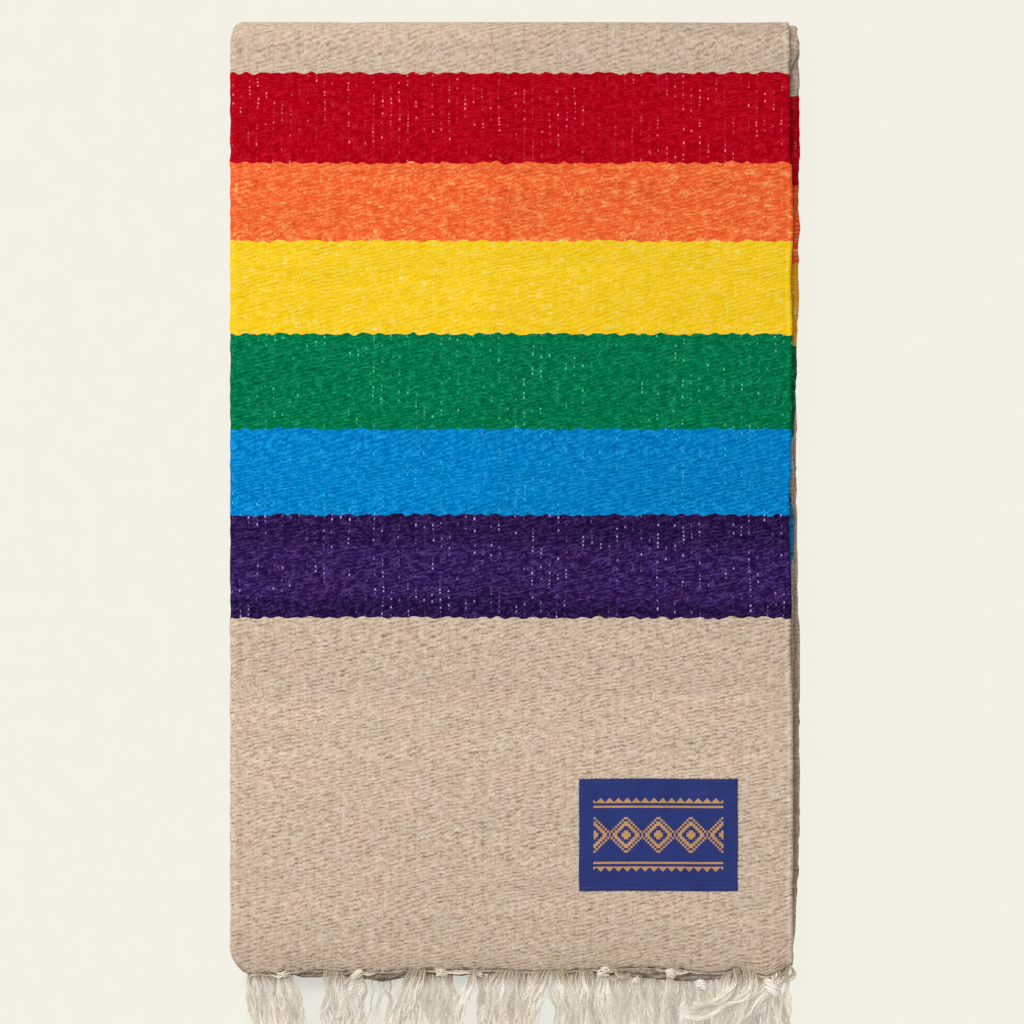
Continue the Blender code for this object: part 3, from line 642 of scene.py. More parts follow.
def label_stitches(material):
    """Lock stitches round the label, 2.7 mm apart, and overcast ones that reach over its turned edge, square to it."""
    half = np.array([LABEL_WIDTH, LABEL_HEIGHT]) / 2
    inner = half - SEAM
    counts = (int(2 * inner[0] / STITCH), int(2 * inner[1] / STITCH))
    # The long sides run along the first axis, the short ones along the second
    sides = [(axis, side, counts[axis]) for axis in (0, 1) for side in (-1, 1)]

    def ordered(axis, along, off):
        """Points from a place along a side and one square to it."""
        return together(off, along) if axis else together(along, off)

    start, end = [], []
    for axis, side, count in sides:
        along = np.linspace(-inner[axis], inner[axis], count + 1)
        start.append(ordered(axis, along[:-1] + 0.00035, side * inner[1 - axis]))
        end.append(ordered(axis, along[1:] - 0.00035, side * inner[1 - axis]))
    rng = np.random.default_rng(41)
    start, end = np.concatenate(start), np.concatenate(end)
    start = start + rng.normal(0, 0.00012, start.shape)
    end = end + rng.normal(0, 0.00012, end.shape)
    for axis, side, count in sides:
        along = np.linspace(-inner[axis], inner[axis], count) + rng.normal(0, 0.00045, count)
        tip = side * (half[1 - axis] + rng.uniform(0.0003, 0.0012, count))
        start = np.concatenate([start, ordered(axis, along, side * (inner[1 - axis] + 0.0008))])
        end = np.concatenate([end, ordered(axis, along + rng.normal(0.0006, 0.0004, count), tip)])
    number = np.arange(len(start))
    locked = number < 2 * sum(counts)
    tone = np.where(locked, rng.uniform(-0.6, 0.5, len(start)), rng.uniform(-0.6, 0.0, len(start)))
    tone = tone + 0.5 * (number < counts[0]) * rng.uniform(0, 1, len(start))
    share = np.linspace(0, 1, 6)[None, :]
    flat = start[:, None] + share[..., None] * (end - start)[:, None]
    x = flat[..., 0] + LABEL_RIGHT - LABEL_WIDTH / 2
    y = flat[..., 1] + LABEL_BOTTOM + LABEL_HEIGHT / 2
    past_edge = np.clip((np.abs(flat) - half).max(axis=-1) / 0.0006, -1.0, 1.0)
    bow = 0.00060 + 0.00030 * np.sin(math.pi * share) - 0.00040 * (past_edge + 1) * (tone < 0)[:, None]
    paths = together(x, y, STACK + top_relief(x, y) + bow)
    radii = 0.00026 * np.sqrt(1.02 - (2 * share - 1) ** 2) * np.ones(paths.shape[:2])
    piece = yarn_piece("label_stitches", [(paths, radii, 0.5 + 0.5 * tone[:, None] + 0 * radii)], 6, material)
    return piece


def tube_arrays(paths, radii, sides, reference):
    """Round yarns: a ring of points about every station of each path, square to the way it runs."""
    run = np.gradient(paths, axis=1)
    run /= np.linalg.norm(run, axis=-1, keepdims=True)
    side = np.cross(run, np.asarray(reference, dtype=float))
    side /= np.linalg.norm(side, axis=-1, keepdims=True)
    up = np.cross(side, run)
    angle = np.linspace(0, 2 * math.pi, sides, endpoint=False)
    ring = np.cos(angle)[:, None] * side[:, :, None] + np.sin(angle)[:, None] * up[:, :, None]
    return paths[:, :, None] + radii[:, :, None, None] * ring


def yarn_piece(name, groups, sides, material):
    """One object from groups of yarns. Each group has paths, radii and a tone for each station.

    Open yarns are capped at both ends. A group with a fourth item, the way its rings face, has closed yarns.
    """
    points, faces, caps, maps, tones = [], [], [], [], []
    first = 0
    for paths, radii, tone, *facing in groups:
        if facing:
            ends = [np.concatenate([line[:, -1:], line, line[:, :1]], axis=1) for line in (paths, radii)]
            tube = tube_arrays(*ends, sides, facing[0])[:, 1:-1]
        else:
            tube = tube_arrays(paths, radii, sides, (0, 0, 1))
        index = first + np.arange(tube.size // 3).reshape(tube.shape[:3])
        around = np.concatenate([index, index[:, :, :1]], axis=2)
        if facing:
            around = np.concatenate([around, around[:, :1]], axis=1)
        else:
            caps += [index[:, 0, ::-1], index[:, -1]]
        quads = (around[:, :-1, :-1], around[:, :-1, 1:], around[:, 1:, 1:], around[:, 1:, :-1])
        faces.append(together(*quads).reshape(-1, 4))
        length = np.linalg.norm(np.diff(paths, axis=1, prepend=paths[:, :1]), axis=-1).cumsum(axis=1)
        points.append(tube.reshape(-1, 3))
        maps.append(together(np.arange(sides) / sides * YARN_ROUND, length[:, :, None]).reshape(-1, 2))
        tones.append(np.broadcast_to(tone[:, :, None], tube.shape[:3]).ravel())
        first += tube.size // 3
    points, maps, tones = (np.concatenate(rows) for rows in (points, maps, tones))
    return make_piece(name, points, faces + caps, material, maps, tones)


def smooth_path(controls, stations):
    """A smooth curve through control points: each coordinate is a rounded cubic between them."""
    controls = np.asarray(controls, dtype=float)
    at = np.concatenate([[0.0], np.cumsum(np.linalg.norm(np.diff(controls, axis=0), axis=1))])
    where = np.linspace(0, at[-1], stations)
    slopes = np.gradient(controls, at, axis=0)
    cell = np.clip(np.searchsorted(at, where, side="right") - 1, 0, len(at) - 2)
    width = (at[cell + 1] - at[cell])[:, None]
    t = ((where - at[cell]) / (at[cell + 1] - at[cell]))[:, None]
    return (
        (2 * t**3 - 3 * t**2 + 1) * controls[cell]
        + (t**3 - 2 * t**2 + t) * width * slopes[cell]
        + (3 * t**2 - 2 * t**3) * controls[cell + 1]
        + (t**3 - t**2) * width * slopes[cell + 1]
    )


def yarn_bundle(controls, widths, heights, count, seed, waviness=1.0, yarn=YARN, stations=16):
    """Loose yarns along a curve, in locks of about six, with stations that stand closer near the root.

    A lock keeps its own place in an oval that widens, and bends in slow waves of its own. Its yarns lie close
    about it and wander a little.
    """
    rng = np.random.default_rng(seed)
    length = np.linalg.norm(np.diff(controls, axis=0), axis=1).sum()
    share = np.linspace(0, 1, stations) ** (1.5 if length > 0.06 else 1.0)
    fine = smooth_path(controls, 120)
    centre = together(*(np.interp(share * 119, np.arange(120), fine[:, k]) for k in range(3)))
    width = np.interp(share, np.linspace(0, 1, len(widths)) ** 1.3, widths)
    height = np.interp(share, np.linspace(0, 1, len(heights)), heights)
    run = np.gradient(centre, axis=0)
    flat = together(run[:, 1], -run[:, 0])
    flat /= np.linalg.norm(flat, axis=-1, keepdims=True) + 1e-9
    locks = max(1, round(count / 6))
    lock = np.arange(count) % locks
    side = (2 * (np.arange(locks) + 0.5 + rng.uniform(-0.45, 0.45, locks)) / locks - 1)[lock, None]
    up = rng.uniform(-1, 1, locks)[lock, None]
    apart = rng.normal(0, 1, (count, 1))
    loose = ease(share / 0.22)[None, :] * waviness
    wander = apart * (0.00022 + 0.00034 * loose) + 0.0004 * loose * rng.normal(0, 1, (count, 1)) * share
    lift = rng.normal(0, 0.0003, (count, 1)) * np.ones((1, stations))
    stray = np.where(rng.uniform(0, 1, (count, 1)) > 0.86, 4.5, 1.0)
    # Waves of a lock, then of each yarn: their length, how far they swing, and whether the lock shares them
    waves = ((0.050, 0.0022, True), (0.024, 0.0012, True), (0.034, 0.0005, False), (0.015, 0.00025, False))
    for wave, swing, shared in waves:
        many, each, odd = (locks, lock, 1.0) if shared else (count, slice(None), stray)
        turns = length / wave * rng.uniform(0.7, 1.4, (many, 1))
        sway, rise = (np.sin(2 * math.pi * (turns * share + rng.uniform(0, 1, (many, 1)))) for _ in range(2))
        wander = wander + (swing * sway)[each] * odd * loose
        lift = lift + (0.5 * swing * rise)[each] * loose
    offset = side * width[None, :] + wander
    freed = 0.22 + 0.78 * ease((share * length - 0.004) / 0.010)
    paths = np.empty((count, stations, 3))
    paths[..., :2] = centre[None, :, :2] + flat[None] * offset[..., None]
    paths[..., 2] = centre[None, :, 2] + (up * height[None, :] + lift) * freed
    # Yarns end unevenly
    at = (1 - rng.uniform(0, 0.10, (count, 1)) * waviness) * np.arange(stations)
    cell = np.clip(at.astype(int), 0, stations - 2)
    mix = (at - cell)[..., None]
    rows = np.arange(count)[:, None]
    paths = paths[rows, cell] * (1 - mix) + paths[rows, cell + 1] * mix
    paths[..., 2] = np.maximum(paths[..., 2], yarn + 0.0001)
    thick = yarn * rng.uniform(0.7, 1.25, (count, 1)) * (1 + 0.15 * np.sin(rng.uniform(0, 6, (count, 1)) + 30 * share))
    thick = thick * np.interp(share, (0, 0.94, 1.0), (1.0, 1.0, 0.35))[None, :]
    tone = rng.uniform(0, 1, locks)[lock, None] * 0.7 + rng.uniform(0, 0.3, (count, 1))
    return paths, thick, tone * np.ones((1, stations))


def knot_rings(centre, across, along, tall, tilt, count, seed):
    """An overhand knot's wraps: closed rings of yarn side by side round a tassel's neck, each an oval, slanted."""
    rng = np.random.default_rng(seed)
    turn = np.linspace(0, 2 * math.pi, 16, endpoint=False)[None, :]
    place = (np.arange(count)[:, None] + 0.5) / count * 2 - 1
    bulge = np.sqrt(1 - (0.86 * place) ** 2)
    wide = across * bulge * rng.uniform(0.88, 1.08, (count, 1))
    high = tall * bulge * rng.uniform(0.88, 1.08, (count, 1))
    slant = tilt + rng.normal(0, 0.22, (count, 1))
    x = centre[0] + wide * np.cos(turn) + rng.normal(0, 0.00025, (count, 1))
    y = centre[1] + along * place + slant * wide * np.cos(turn) + 0.0003 * np.sin(3 * turn + 5 * place)
    z = centre[2] + high * np.sin(turn)
    radii = 0.00055 * rng.uniform(0.85, 1.2, (count, 1)) * np.ones((1, 16))
    tone = rng.uniform(1.08, 1.18, (count, 1)) * np.ones((1, 16))
    return together(x, y, z), radii, tone, (0, 1, 0)


def make_fringe_row(name, node, layer, level, fall, material):
    """A row of knotted tassels at one layer's end. Their yarns leave the knots, fall to the floor and fan out."""
    floor = LOWEST_STRAND + (3 - layer) * ROW_PITCH

    def root(out):
        """The middle of the layer at its end, as low as the pile sinks there."""
        return settle(-HALF_LENGTH - np.minimum(out, 0.0), STACK - (layer + 0.5) * LAYER) - 0.0004

    def height(out):
        """Level as far as the knots, then down to the floor, steepest half way."""
        share = kept((np.maximum(out, 0.0) - level) / fall)
        return floor + (root(out) - floor) * ((1 - share) ** 2 * (1 + 2 * share))

    groups = []
    for number, (row, count, lift, widths, out, across) in enumerate(BUNDLES):
        if row == layer:
            x, out = together(across, out).T / 1000
            z = height(out) + lift / 1000 * ease((out + 0.001) / 0.008)
            controls = together(x, -HALF_LENGTH - out, z)
            groups.append(yarn_bundle(controls, np.array(widths) / 1000, TASSEL_HEIGHTS, count, 17 * number + 5))
    for number, (row, *knot) in enumerate(KNOTS):
        if row == layer:
            x, out, wide, long = np.array(knot[:4]) / 1000
            centre = (x, -HALF_LENGTH - out, float(height(out)) + 0.0006)
            groups.append(knot_rings(centre, wide, long, 0.0020, knot[4], round(2 * long / 0.00075), 70 + number))
            groups += gathered_yarns(x, centre[1], float(root(0.0)), knot[5:], 200 + number)
    if layer == 0:
        groups.append(header_threads(float(root(0.0))))
        x, out, *knot = CORNER_KNOT
        groups.append(knot_rings((x, -HALF_LENGTH - out, float(height(out)) + 0.0014), *knot, 91))
    return dressed(yarn_piece(name, groups, 3, material), node)


def header_threads(z):
    """Slack warp ends worked along the top layer's end: each wanders out and in, and up and down, beside it."""
    x = np.linspace(*HEADER_SPAN, 300)[None, :]
    order = np.arange(HEADERS)[:, None]
    wander = 0.0006 * uneven(x, 0.7 * order, 0.012, 41) + 0.0003 * uneven(x, 0.7 * order, 0.0045, 42)
    y = -HALF_LENGTH + end_wave(x) - 0.0001 - 0.0003 * order + wander
    rise = 0.0004 + 0.0006 * uneven(x, 0.7 * order, 0.009, 43) - 0.0003 * order
    paths = together(x, y, z + rise)
    radii = 0.00030 * (1 + 0.2 * uneven(x, order, 0.006, 44))
    return paths, radii, 1.03 + 0.03 * order + 0 * x


def gathered_yarns(x, knot_y, z, spans, seed):
    """Warp ends drawn along the cloth's end to a knot, over a span in mm on each side of it."""
    rng = np.random.default_rng(seed + 50)
    groups = []
    for side, span in zip((-1, 1), spans):
        for start in np.linspace(0.5, 1.0, round(span / 6)) * span / 1000:
            begin, middle = x + side * start, x + side * 0.55 * start
            edge, middle_edge = (-HALF_LENGTH + float(end_wave(np.array(place))) for place in (begin, middle))
            sag = 0.10 * abs(middle - x) * rng.uniform(0.2, 1.0)
            controls = (
                (begin + side * 0.0015, edge + 0.0045, z + 0.0002),
                (begin - side * 0.0025, edge + 0.0002, z),
                (middle, min(middle_edge, 0.5 * (edge + knot_y)) - 0.0007 - sag, z),
                (x + side * 0.0018, knot_y + 0.0006, z + 0.0006),
            )
            widths, heights = (0.0003, 0.0009, 0.0007), (0.0003, 0.0005, 0.0004)
            lock_seed = seed + int(9000 * start) + side
            paths, radii, tone = yarn_bundle(controls, widths, heights, 6, lock_seed, 0.10, 0.00034, 12)
            groups.append((paths, radii, 1.05 + 0.1 * tone))
    return groups


# ---- finishes ----


def colour(code):
    """An sRGB hex colour as a linear one."""
    values = np.array([int(code[k : k + 2], 16) for k in (1, 3, 5)]) / 255
    linear = np.where(values <= 0.04045, values / 12.92, ((values + 0.055) / 1.055) ** 2.4)
    return (*linear.tolist(), 1.0)


def add_node(tree, kind, inputs=(), out=0, **settings):
    """Adds a node with its settings, sets or links its inputs in order or by name, and gives back one output.

    The kind is Blender's name without ShaderNode. A word after it is the setting that MODES names for it. A kind
    in capitals is a Math node's operation.
    """
    kind, _, mode = ("Math " * kind.isupper() + kind).partition(" ")
    item = tree.nodes.new("ShaderNode" + kind)
    if mode:
        settings[MODES[kind]] = mode
    for key, value in settings.items():
        setattr(item, key, value)
    for key, value in inputs.items() if isinstance(inputs, dict) else enumerate(inputs):
        if isinstance(value, bpy.types.NodeSocket):
            tree.links.new(value, item.inputs[key])
        else:
            item.inputs[key].default_value = value
    return item.outputs[out]


def new_finish(name, roughness, sheen=0.0, specular=0.3):
    """A material with one Principled shader, its gloss and sheen set on its own sockets."""
    material = bpy.data.materials.new(name)
    material.use_nodes = True
    tree = material.node_tree
    shader = tree.nodes["Principled BSDF"]
    values = {"Roughness": roughness, "Metallic": 0.0, "Specular IOR Level": specular}
    for socket, value in {**values, "Sheen Weight": sheen, "Sheen Roughness": 0.6}.items():
        shader.inputs[socket].default_value = value
    return material, shader, partial(add_node, tree)


def surface(shader, body, bump, glow=None):
    """Links a finish's colour, its bump and its glow, if it has one, to its shader."""
    for socket, value in (("Base Color", body), ("Normal", bump), ("Emission Color", glow)):
        if value is not None:
            shader.id_data.links.new(value, shader.inputs[socket])


def set_steps(ramp, steps):
    """Makes a colour ramp a stepped one: a colour from each position on, the first from 0."""
    elements = ramp.node.color_ramp.elements
    ramp.node.color_ramp.interpolation = "CONSTANT"
    elements[0].color = steps[0][1]
    elements[1].position, elements[1].color = steps[1]
    for position, shade in steps[2:]:
        elements.new(position).color = shade
    return ramp


def woven_cloth(name, weft_column=1):
    """Hand-loomed acrylic and cotton serape cloth, a weft-faced 2/2 twill of soft single yarns.

    To the eye: soft matt ribs that rise to the right, 2.8 mm apart and two warps across, with thin broken slits
    between them, a fine fibrous grain, paler slubs, and pale dots of white warp in columns 5.66 mm apart.
    """
    material, shader, add = new_finish(name, 0.95, specular=0.02)
    place = add("VectorMath MULTIPLY", [add("UVMap", uv_map="cloth"), MILLIMETRES])

    # The weft wanders: beaten in unevenly, over 34 mm and over 5 mm, and more closely in some places than others
    sways = []
    for size, detail, swing in ((34, 1.0, (3.0, 5.0, 0.0)), (5, 1.5, (1.0, 1.4, 0.0))):
        sway = add("TexNoise 2D", {"Vector": place, "Scale": 1 / size, "Detail": detail}, "Color")
        sways.append(add("VectorMath MULTIPLY_ADD", [sway, swing, [0.0 - 0.5 * part for part in swing]]))
    slow, quick = sways
    beat = add("TexNoise 1D", {"W": add("SeparateXYZ", [place], 1), "Scale": 1 / 45, "Detail": 1.0})
    slow = add("VectorMath MULTIPLY_ADD", [add("CombineXYZ", [0.0, beat, 0.0]), (0.0, 12.0, 0.0), slow])
    settled = add("VectorMath ADD", [place, slow])
    moved = add("VectorMath ADD", [settled, quick])
    u = add("SeparateXYZ", [moved])
    v = u.node.outputs[1]

    # Ribs: full at their crowns, with a valley between them. They rise half by slope and half by a step at each warp
    step = add("FLOOR", [add("MULTIPLY_ADD", [u, 1 / WARP_GAP, 0.5])])
    rib = add("MULTIPLY_ADD", [u, -0.25 / WARP_GAP, add("MULTIPLY", [v, 1 / RIB_GAP])])
    rib = add("MULTIPLY_ADD", [step, -0.25, rib])
    rib_number, rib_share = add("FLOOR", [rib]), add("FRACT", [rib])
    crown = add("COSINE", [add("MULTIPLY", [rib_share, 2 * math.pi])])
    valley = add("SUBTRACT", [rib_share, 0.5])
    valley = add("MULTIPLY", [valley, valley])
    line = add("MULTIPLY_ADD", [valley, -1 / 0.040, 1.0], use_clamp=True)
    along_rib = add("CombineXYZ", [add("MULTIPLY", [u, 0.10]), rib_number, 0.0])
    along_rib = add("VectorMath MULTIPLY", [along_rib, (1.0, 7.3, 0.0)])
    broken = add("TexNoise 2D", {"Vector": along_rib, "Scale": 1.3, "Detail": 1.5}, "Color")
    broken = add("SeparateXYZ", [broken])
    full = add("MULTIPLY_ADD", [broken.node.outputs[1], 2.0, -0.45], use_clamp=True)
    broken = add("MULTIPLY_ADD", [broken, 3.4, -1.25], use_clamp=True)
    slit = add("MULTIPLY", [line, broken])
    crown = add("MULTIPLY", [crown, full])

    # Columns: where the warp lies, a shallow groove, short lengths of it and dots of it at the valleys
    across = add("SeparateXYZ", [settled])
    column = add("MULTIPLY", [across, 1 / WARP_GAP])
    column_number = add("ROUND", [column])
    off = add("SUBTRACT", [column, column_number])
    off = add("MULTIPLY", [off, off])
    groove, thread = (add("MULTIPLY_ADD", [off, -1 / wide, 1.0], use_clamp=True) for wide in (0.030, 0.008))

    # Patterns: each one's place, how finely it runs across and along, its detail and its roughness
    along_fibre = add("CombineXYZ", [add("MULTIPLY", [u, 0.17]), rib, 0.0])
    along_column = add("CombineXYZ", [column_number, add("MULTIPLY", [v, 0.28]), 0.0])
    patterns = []
    for where, scale, detail, rough in (
        (along_fibre, (1.0, 2.3, 0.0), 1.0, 0.5),  # fibres along the ribs, 1.2 mm apart
        (settled, (0.18, 0.26, 0.0), 2.2, 1.0),  # a grain from 1.5 to 6 mm
        (moved, (0.09, 0.24, 0.0), 1.5, 0.5),  # streaks of the weft's own unevenness
        (along_column, (5.3, 1.0, 0.0), 1.0, 0.5),  # lengths of warp that show
        (moved, (0.15, 0.26, 0.0), 1.0, 0.5),  # slubs
        (place, (1 / 150, 1 / 13, 0.0), 2.0, 0.5),  # lots of weft
        (place, (1 / 9, 1 / 30, 0.0), 1.0, 0.5),  # breaks in the painted shadow along the cloth's end
    ):
        where = add("VectorMath MULTIPLY", [where, scale])
        patterns.append(add("TexNoise 2D", {"Vector": where, "Scale": 1.0, "Detail": detail, "Roughness": rough}))
    fibres, grain, streaks, shown, lump, lots, apart = patterns

    # Dots of warp: more in some columns and places than in others
    thread = add("MULTIPLY", [thread, add("MULTIPLY_ADD", [shown, 5.0, -2.5], use_clamp=True)])
    off = add("MULTIPLY", [off, (WARP_GAP / 0.60) ** 2])
    dot = add("MULTIPLY_ADD", [valley, (RIB_GAP / 0.84) ** 2, off])
    dot = add("SUBTRACT", [1.0, dot], use_clamp=True)
    dot_chance = add("TexWhiteNoise 2D", [add("CombineXYZ", [column_number, rib_number, 0.0])])
    column_chance = add("TexWhiteNoise 1D", {"W": column_number})
    thick = add("TexNoise 2D", {"Vector": place, "Scale": 1 / 30, "Detail": 2.0})
    thick = add("MULTIPLY_ADD", [column_chance, 1.6, add("MULTIPLY_ADD", [thick, 8.0, -3.9])])
    dot_chance = add("MULTIPLY", [add("POWER", [dot_chance, 6.0]), thick], use_clamp=True)
    dot = add("MULTIPLY", [add("MULTIPLY", [dot, 2.6], use_clamp=True), dot_chance])
    dot = add("MULTIPLY_ADD", [thread, 0.06, dot])

    # Stripes: the number of the stripe at this length, with edges that wave as the ribs end
    wave = add("SeparateXYZ", [add("TexNoise 2D", {"Vector": place, "Scale": 1 / 14, "Detail": 2.0}, "Color")])
    ripple = add("SINE", [add("MULTIPLY_ADD", [u, math.pi / WARP_GAP, add("MULTIPLY", [wave, 5.0])])])
    drift = add("MULTIPLY_ADD", [wave.node.outputs[1], 3.0, -1.5])
    along = add("SeparateXYZ", [add("VectorMath ADD", [place, quick])], 1)
    along = add("ADD", [add("MULTIPLY_ADD", [ripple, 0.55, along]), drift])
    along = add("MINIMUM", [along, add("SUBTRACT", [1000 * BLANKET_LENGTH, along])])
    index = 0.0
    for start, *_ in STRIPES[1:]:
        index = add("ADD", [add("GREATER_THAN", [along, start]), index])
    rows = len(STRIPES)
    by_stripe = []
    for part in (weft_column, 2, 3, 4, 5, 6):
        where = add("MULTIPLY_ADD", [index, 1 / rows, 0.5 / rows])
        values = [colour(row[part]) if isinstance(row[part], str) else (*row[part], 1.0) for row in STRIPES]
        by_stripe.append(set_steps(add("ValToRGB", [where]), [(k / rows, value) for k, value in enumerate(values)]))
    weft, shade, slub, warp, *shares = by_stripe
    shares = (add("SeparateColor", [share]).node.outputs[:3] for share in shares)
    (ribs, graininess, streakiness), (slub_show, warp_show, tint_show) = shares

    # Tone: below 0 it goes to the stripe's shade, above 0 to its slubs
    # Painted light and shade of the weave: the ribs' crowns lighter, their slits and the warp's grooves darker
    tone = add("MULTIPLY", [crown, 0.34])
    for part, weight in ((slit, -0.40), (groove, -0.17)):
        tone = add("MULTIPLY_ADD", [part, weight, tone])
    tone = add("MULTIPLY", [tone, ribs])
    marks = add("MULTIPLY_ADD", [grain, 2.6, add("MULTIPLY_ADD", [fibres, 0.9, -0.35])])
    marks = add("ADD", [marks, -1.3])
    lump = add("MULTIPLY_ADD", [lump, 9.0, -6.3], use_clamp=True)
    streaks = add("MULTIPLY_ADD", [streaks, 1.9, -0.95])
    for part, weight in ((marks, graininess), (streaks, streakiness), (lump, slub_show)):
        tone = add("MULTIPLY_ADD", [part, weight, tone])
    above, below = (add("MULTIPLY", [tone, way], use_clamp=True) for way in (1.0, -1.0))
    patches = add("TexNoise 2D", {"Vector": place, "Scale": 1 / 18, "Detail": 1.5}, "Color")
    tint = add("VectorMath MULTIPLY_ADD", [patches, (0.14, 0.05, 0.14), (-0.07, -0.025, -0.07)])
    tint = add("VectorMath MULTIPLY_ADD", [tint, tint_show, (1.0, 1.0, 1.0)])
    body = add("Mix RGBA", {0: below, 6: weft, 7: shade}, 2)
    body = add("Mix RGBA", {0: above, 6: body, 7: slub}, 2)
    body = add("VectorMath MULTIPLY", [body, tint])

    # Broad shades: lots of weft, which are the cloth's own; the rest is painted light and shade, first lighter left of
    # an old fold line and darker right of it
    shades = add("MULTIPLY_ADD", [lots, 0.16, 0.92])
    fold_side = add("MapRange SMOOTHSTEP", [across, -216.0, -196.0, 1.0, -1.0])
    striped = add("MapRange SMOOTHSTEP", [along, 235.0, 330.0, 0.0, 0.022])
    painted_fold_light = add("MULTIPLY_ADD", [add("MULTIPLY", [fold_side, striped]), graininess, 1.0])
    shades = add("MULTIPLY", [shades, painted_fold_light])
    # Painted shade on the long fold's brow, darker towards the selvedge
    painted_brow_shade = add("MapRange", [across, -250.0, -70.0, 1.0, 0.86])
    from_brow = add("ABSOLUTE", [add("SUBTRACT", [along, 643.0])])
    # Painted shadow along the cloth's very end: deep where this pattern runs high, none where it runs low
    apart = add("MapRange SMOOTHSTEP", [apart, 0.40, 0.58, 1.0, 0.42])
    for where, near, far, near_shade, far_shade in (
        (along, 0.0, 56.0, 0.95, 1.0),  # painted shade, darker towards the fringed end
        (along, 0.0, 11.0, 0.88, 1.0),  # painted shade on its curled edge
        (along, 80.0, 150.0, 1.0, 1.04),  # painted light over a width
        (along, 186.0, 190.0, 1.0, 0.96),  # which ends in painted shade at a crease
        (across, -386.0, -367.0, 0.92, 1.0),  # painted shade on the rolled side
        (from_brow, 5.0, 12.0, painted_brow_shade, 1.0),  # painted shade on the long fold's brow, darker towards the selvedge
        (along, 0.5, 2.1, apart, 1.0),  # painted shadow along the cloth's very end, in broken lengths
    ):
        shades = add("MULTIPLY", [shades, add("MapRange SMOOTHSTEP", [where, near, far, near_shade, far_shade])])
    # The purple stripe was woven of two lots: the darker one at both its edges
    lot_drift = add("MULTIPLY_ADD", [lots, 16.0, -8.0])
    lot_place = add("ADD", [add("ADD", [along, lot_drift]), fibres])
    # The purple's dark ends also take the painted light and shade either side of the old fold line
    dark_end = add("MULTIPLY_ADD", [fold_side, 0.04, 0.70])
    rising = add("MapRange SMOOTHSTEP", [lot_place, 249.5, 258.0, 0.73, 1.17])
    falling = add("MapRange SMOOTHSTEP", [lot_place, 286.0, 295.0, 1.0, dark_end])
    lot_shade = add("MULTIPLY", [rising, falling])
    purple = add("COMPARE", [index, 1.0, 0.5])
    shades = add("MULTIPLY", [shades, add("Mix FLOAT", {0: purple, 2: 1.0, 3: lot_shade})])
    body = add("VectorMath MULTIPLY", [body, shades])
    body = add("Mix RGBA", {0: add("MULTIPLY", [dot, warp_show]), 6: body, 7: warp}, 2)

    height = add("MULTIPLY", [crown, 0.24])
    for part, weight in ((slit, -0.40), (grain, 1.6), (fibres, 0.5), (groove, -0.15)):
        height = add("MULTIPLY_ADD", [part, weight, height])
    surface(shader, body, add("Bump", {"Height": height, "Strength": 0.8, "Distance": 0.0004}))
    return material


def label_weave(name):
    """Damask label tape of bright polyester, woven close: a satin navy ground with gold figures."""
    material, shader, add = new_finish(name, 0.7, specular=0.15)
    place = add("VectorMath MULTIPLY", [add("UVMap", uv_map="cloth"), MILLIMETRES])
    x = add("SeparateXYZ", [place])
    y = x.node.outputs[1]
    up = add("ABSOLUTE", [y])
    # Stepped diamonds in a row, 22 mm apart, in steps of 1.5 mm
    beside = add("SNAP", [add("PINGPONG", [x, 11.0]), 1.5])
    away = add("ADD", [beside, add("SNAP", [up, 1.5])])
    rings = add("ValToRGB", [add("MULTIPLY", [away, 1 / RINGS_WIDE])])
    gold, ground = (1, 1, 1, 1), (0, 0, 0, 1)
    steps = ((0.0, gold), (2.6, ground), (5.6, gold), (8.6, ground), (10.1, gold), (11.6, ground))
    set_steps(rings, [(at / RINGS_WIDE, kind) for at, kind in steps])
    figure = add("MULTIPLY", [rings, add("LESS_THAN", [up, 15.0])])
    # Bars and a row of small steps above and below
    figure = add("MAXIMUM", [figure, add("COMPARE", [up, 19.0, 0.7])])
    tooth = add("LESS_THAN", [up, add("ADD", [add("PINGPONG", [x, 3.0]), 22.0])])
    tooth = add("MULTIPLY", [tooth, add("GREATER_THAN", [up, 21.5])])
    figure = add("MAXIMUM", [figure, tooth])
    figure = add("MULTIPLY", [figure, add("LESS_THAN", [add("ABSOLUTE", [x]), 44.0])])

    threads = add("VectorMath MULTIPLY", [place, (0.5, 3.2, 0.0)])
    threads = add("TexNoise 2D", {"Vector": threads, "Scale": 1.0, "Detail": 2.0})
    blotch = add("TexNoise 2D", {"Vector": place, "Scale": 1 / 16, "Detail": 1.0})
    tone = add("MULTIPLY_ADD", [blotch, 0.5, add("MULTIPLY_ADD", [threads, 0.7, 0.65])])
    tone = add("MULTIPLY", [tone, 0.82])
    body = add("Mix RGBA", {0: figure, 6: colour("#2A3676"), 7: colour("#C29460")}, 2)
    body = add("VectorMath MULTIPLY", [body, tone])
    ribs = add("SINE", [add("MULTIPLY", [y, 2 * math.pi / 0.9])])
    height = add("MULTIPLY_ADD", [figure, 0.6, add("MULTIPLY_ADD", [ribs, 0.25, threads])])
    surface(shader, body, add("Bump", {"Height": height, "Strength": 0.6, "Distance": 0.00012}))
    return material


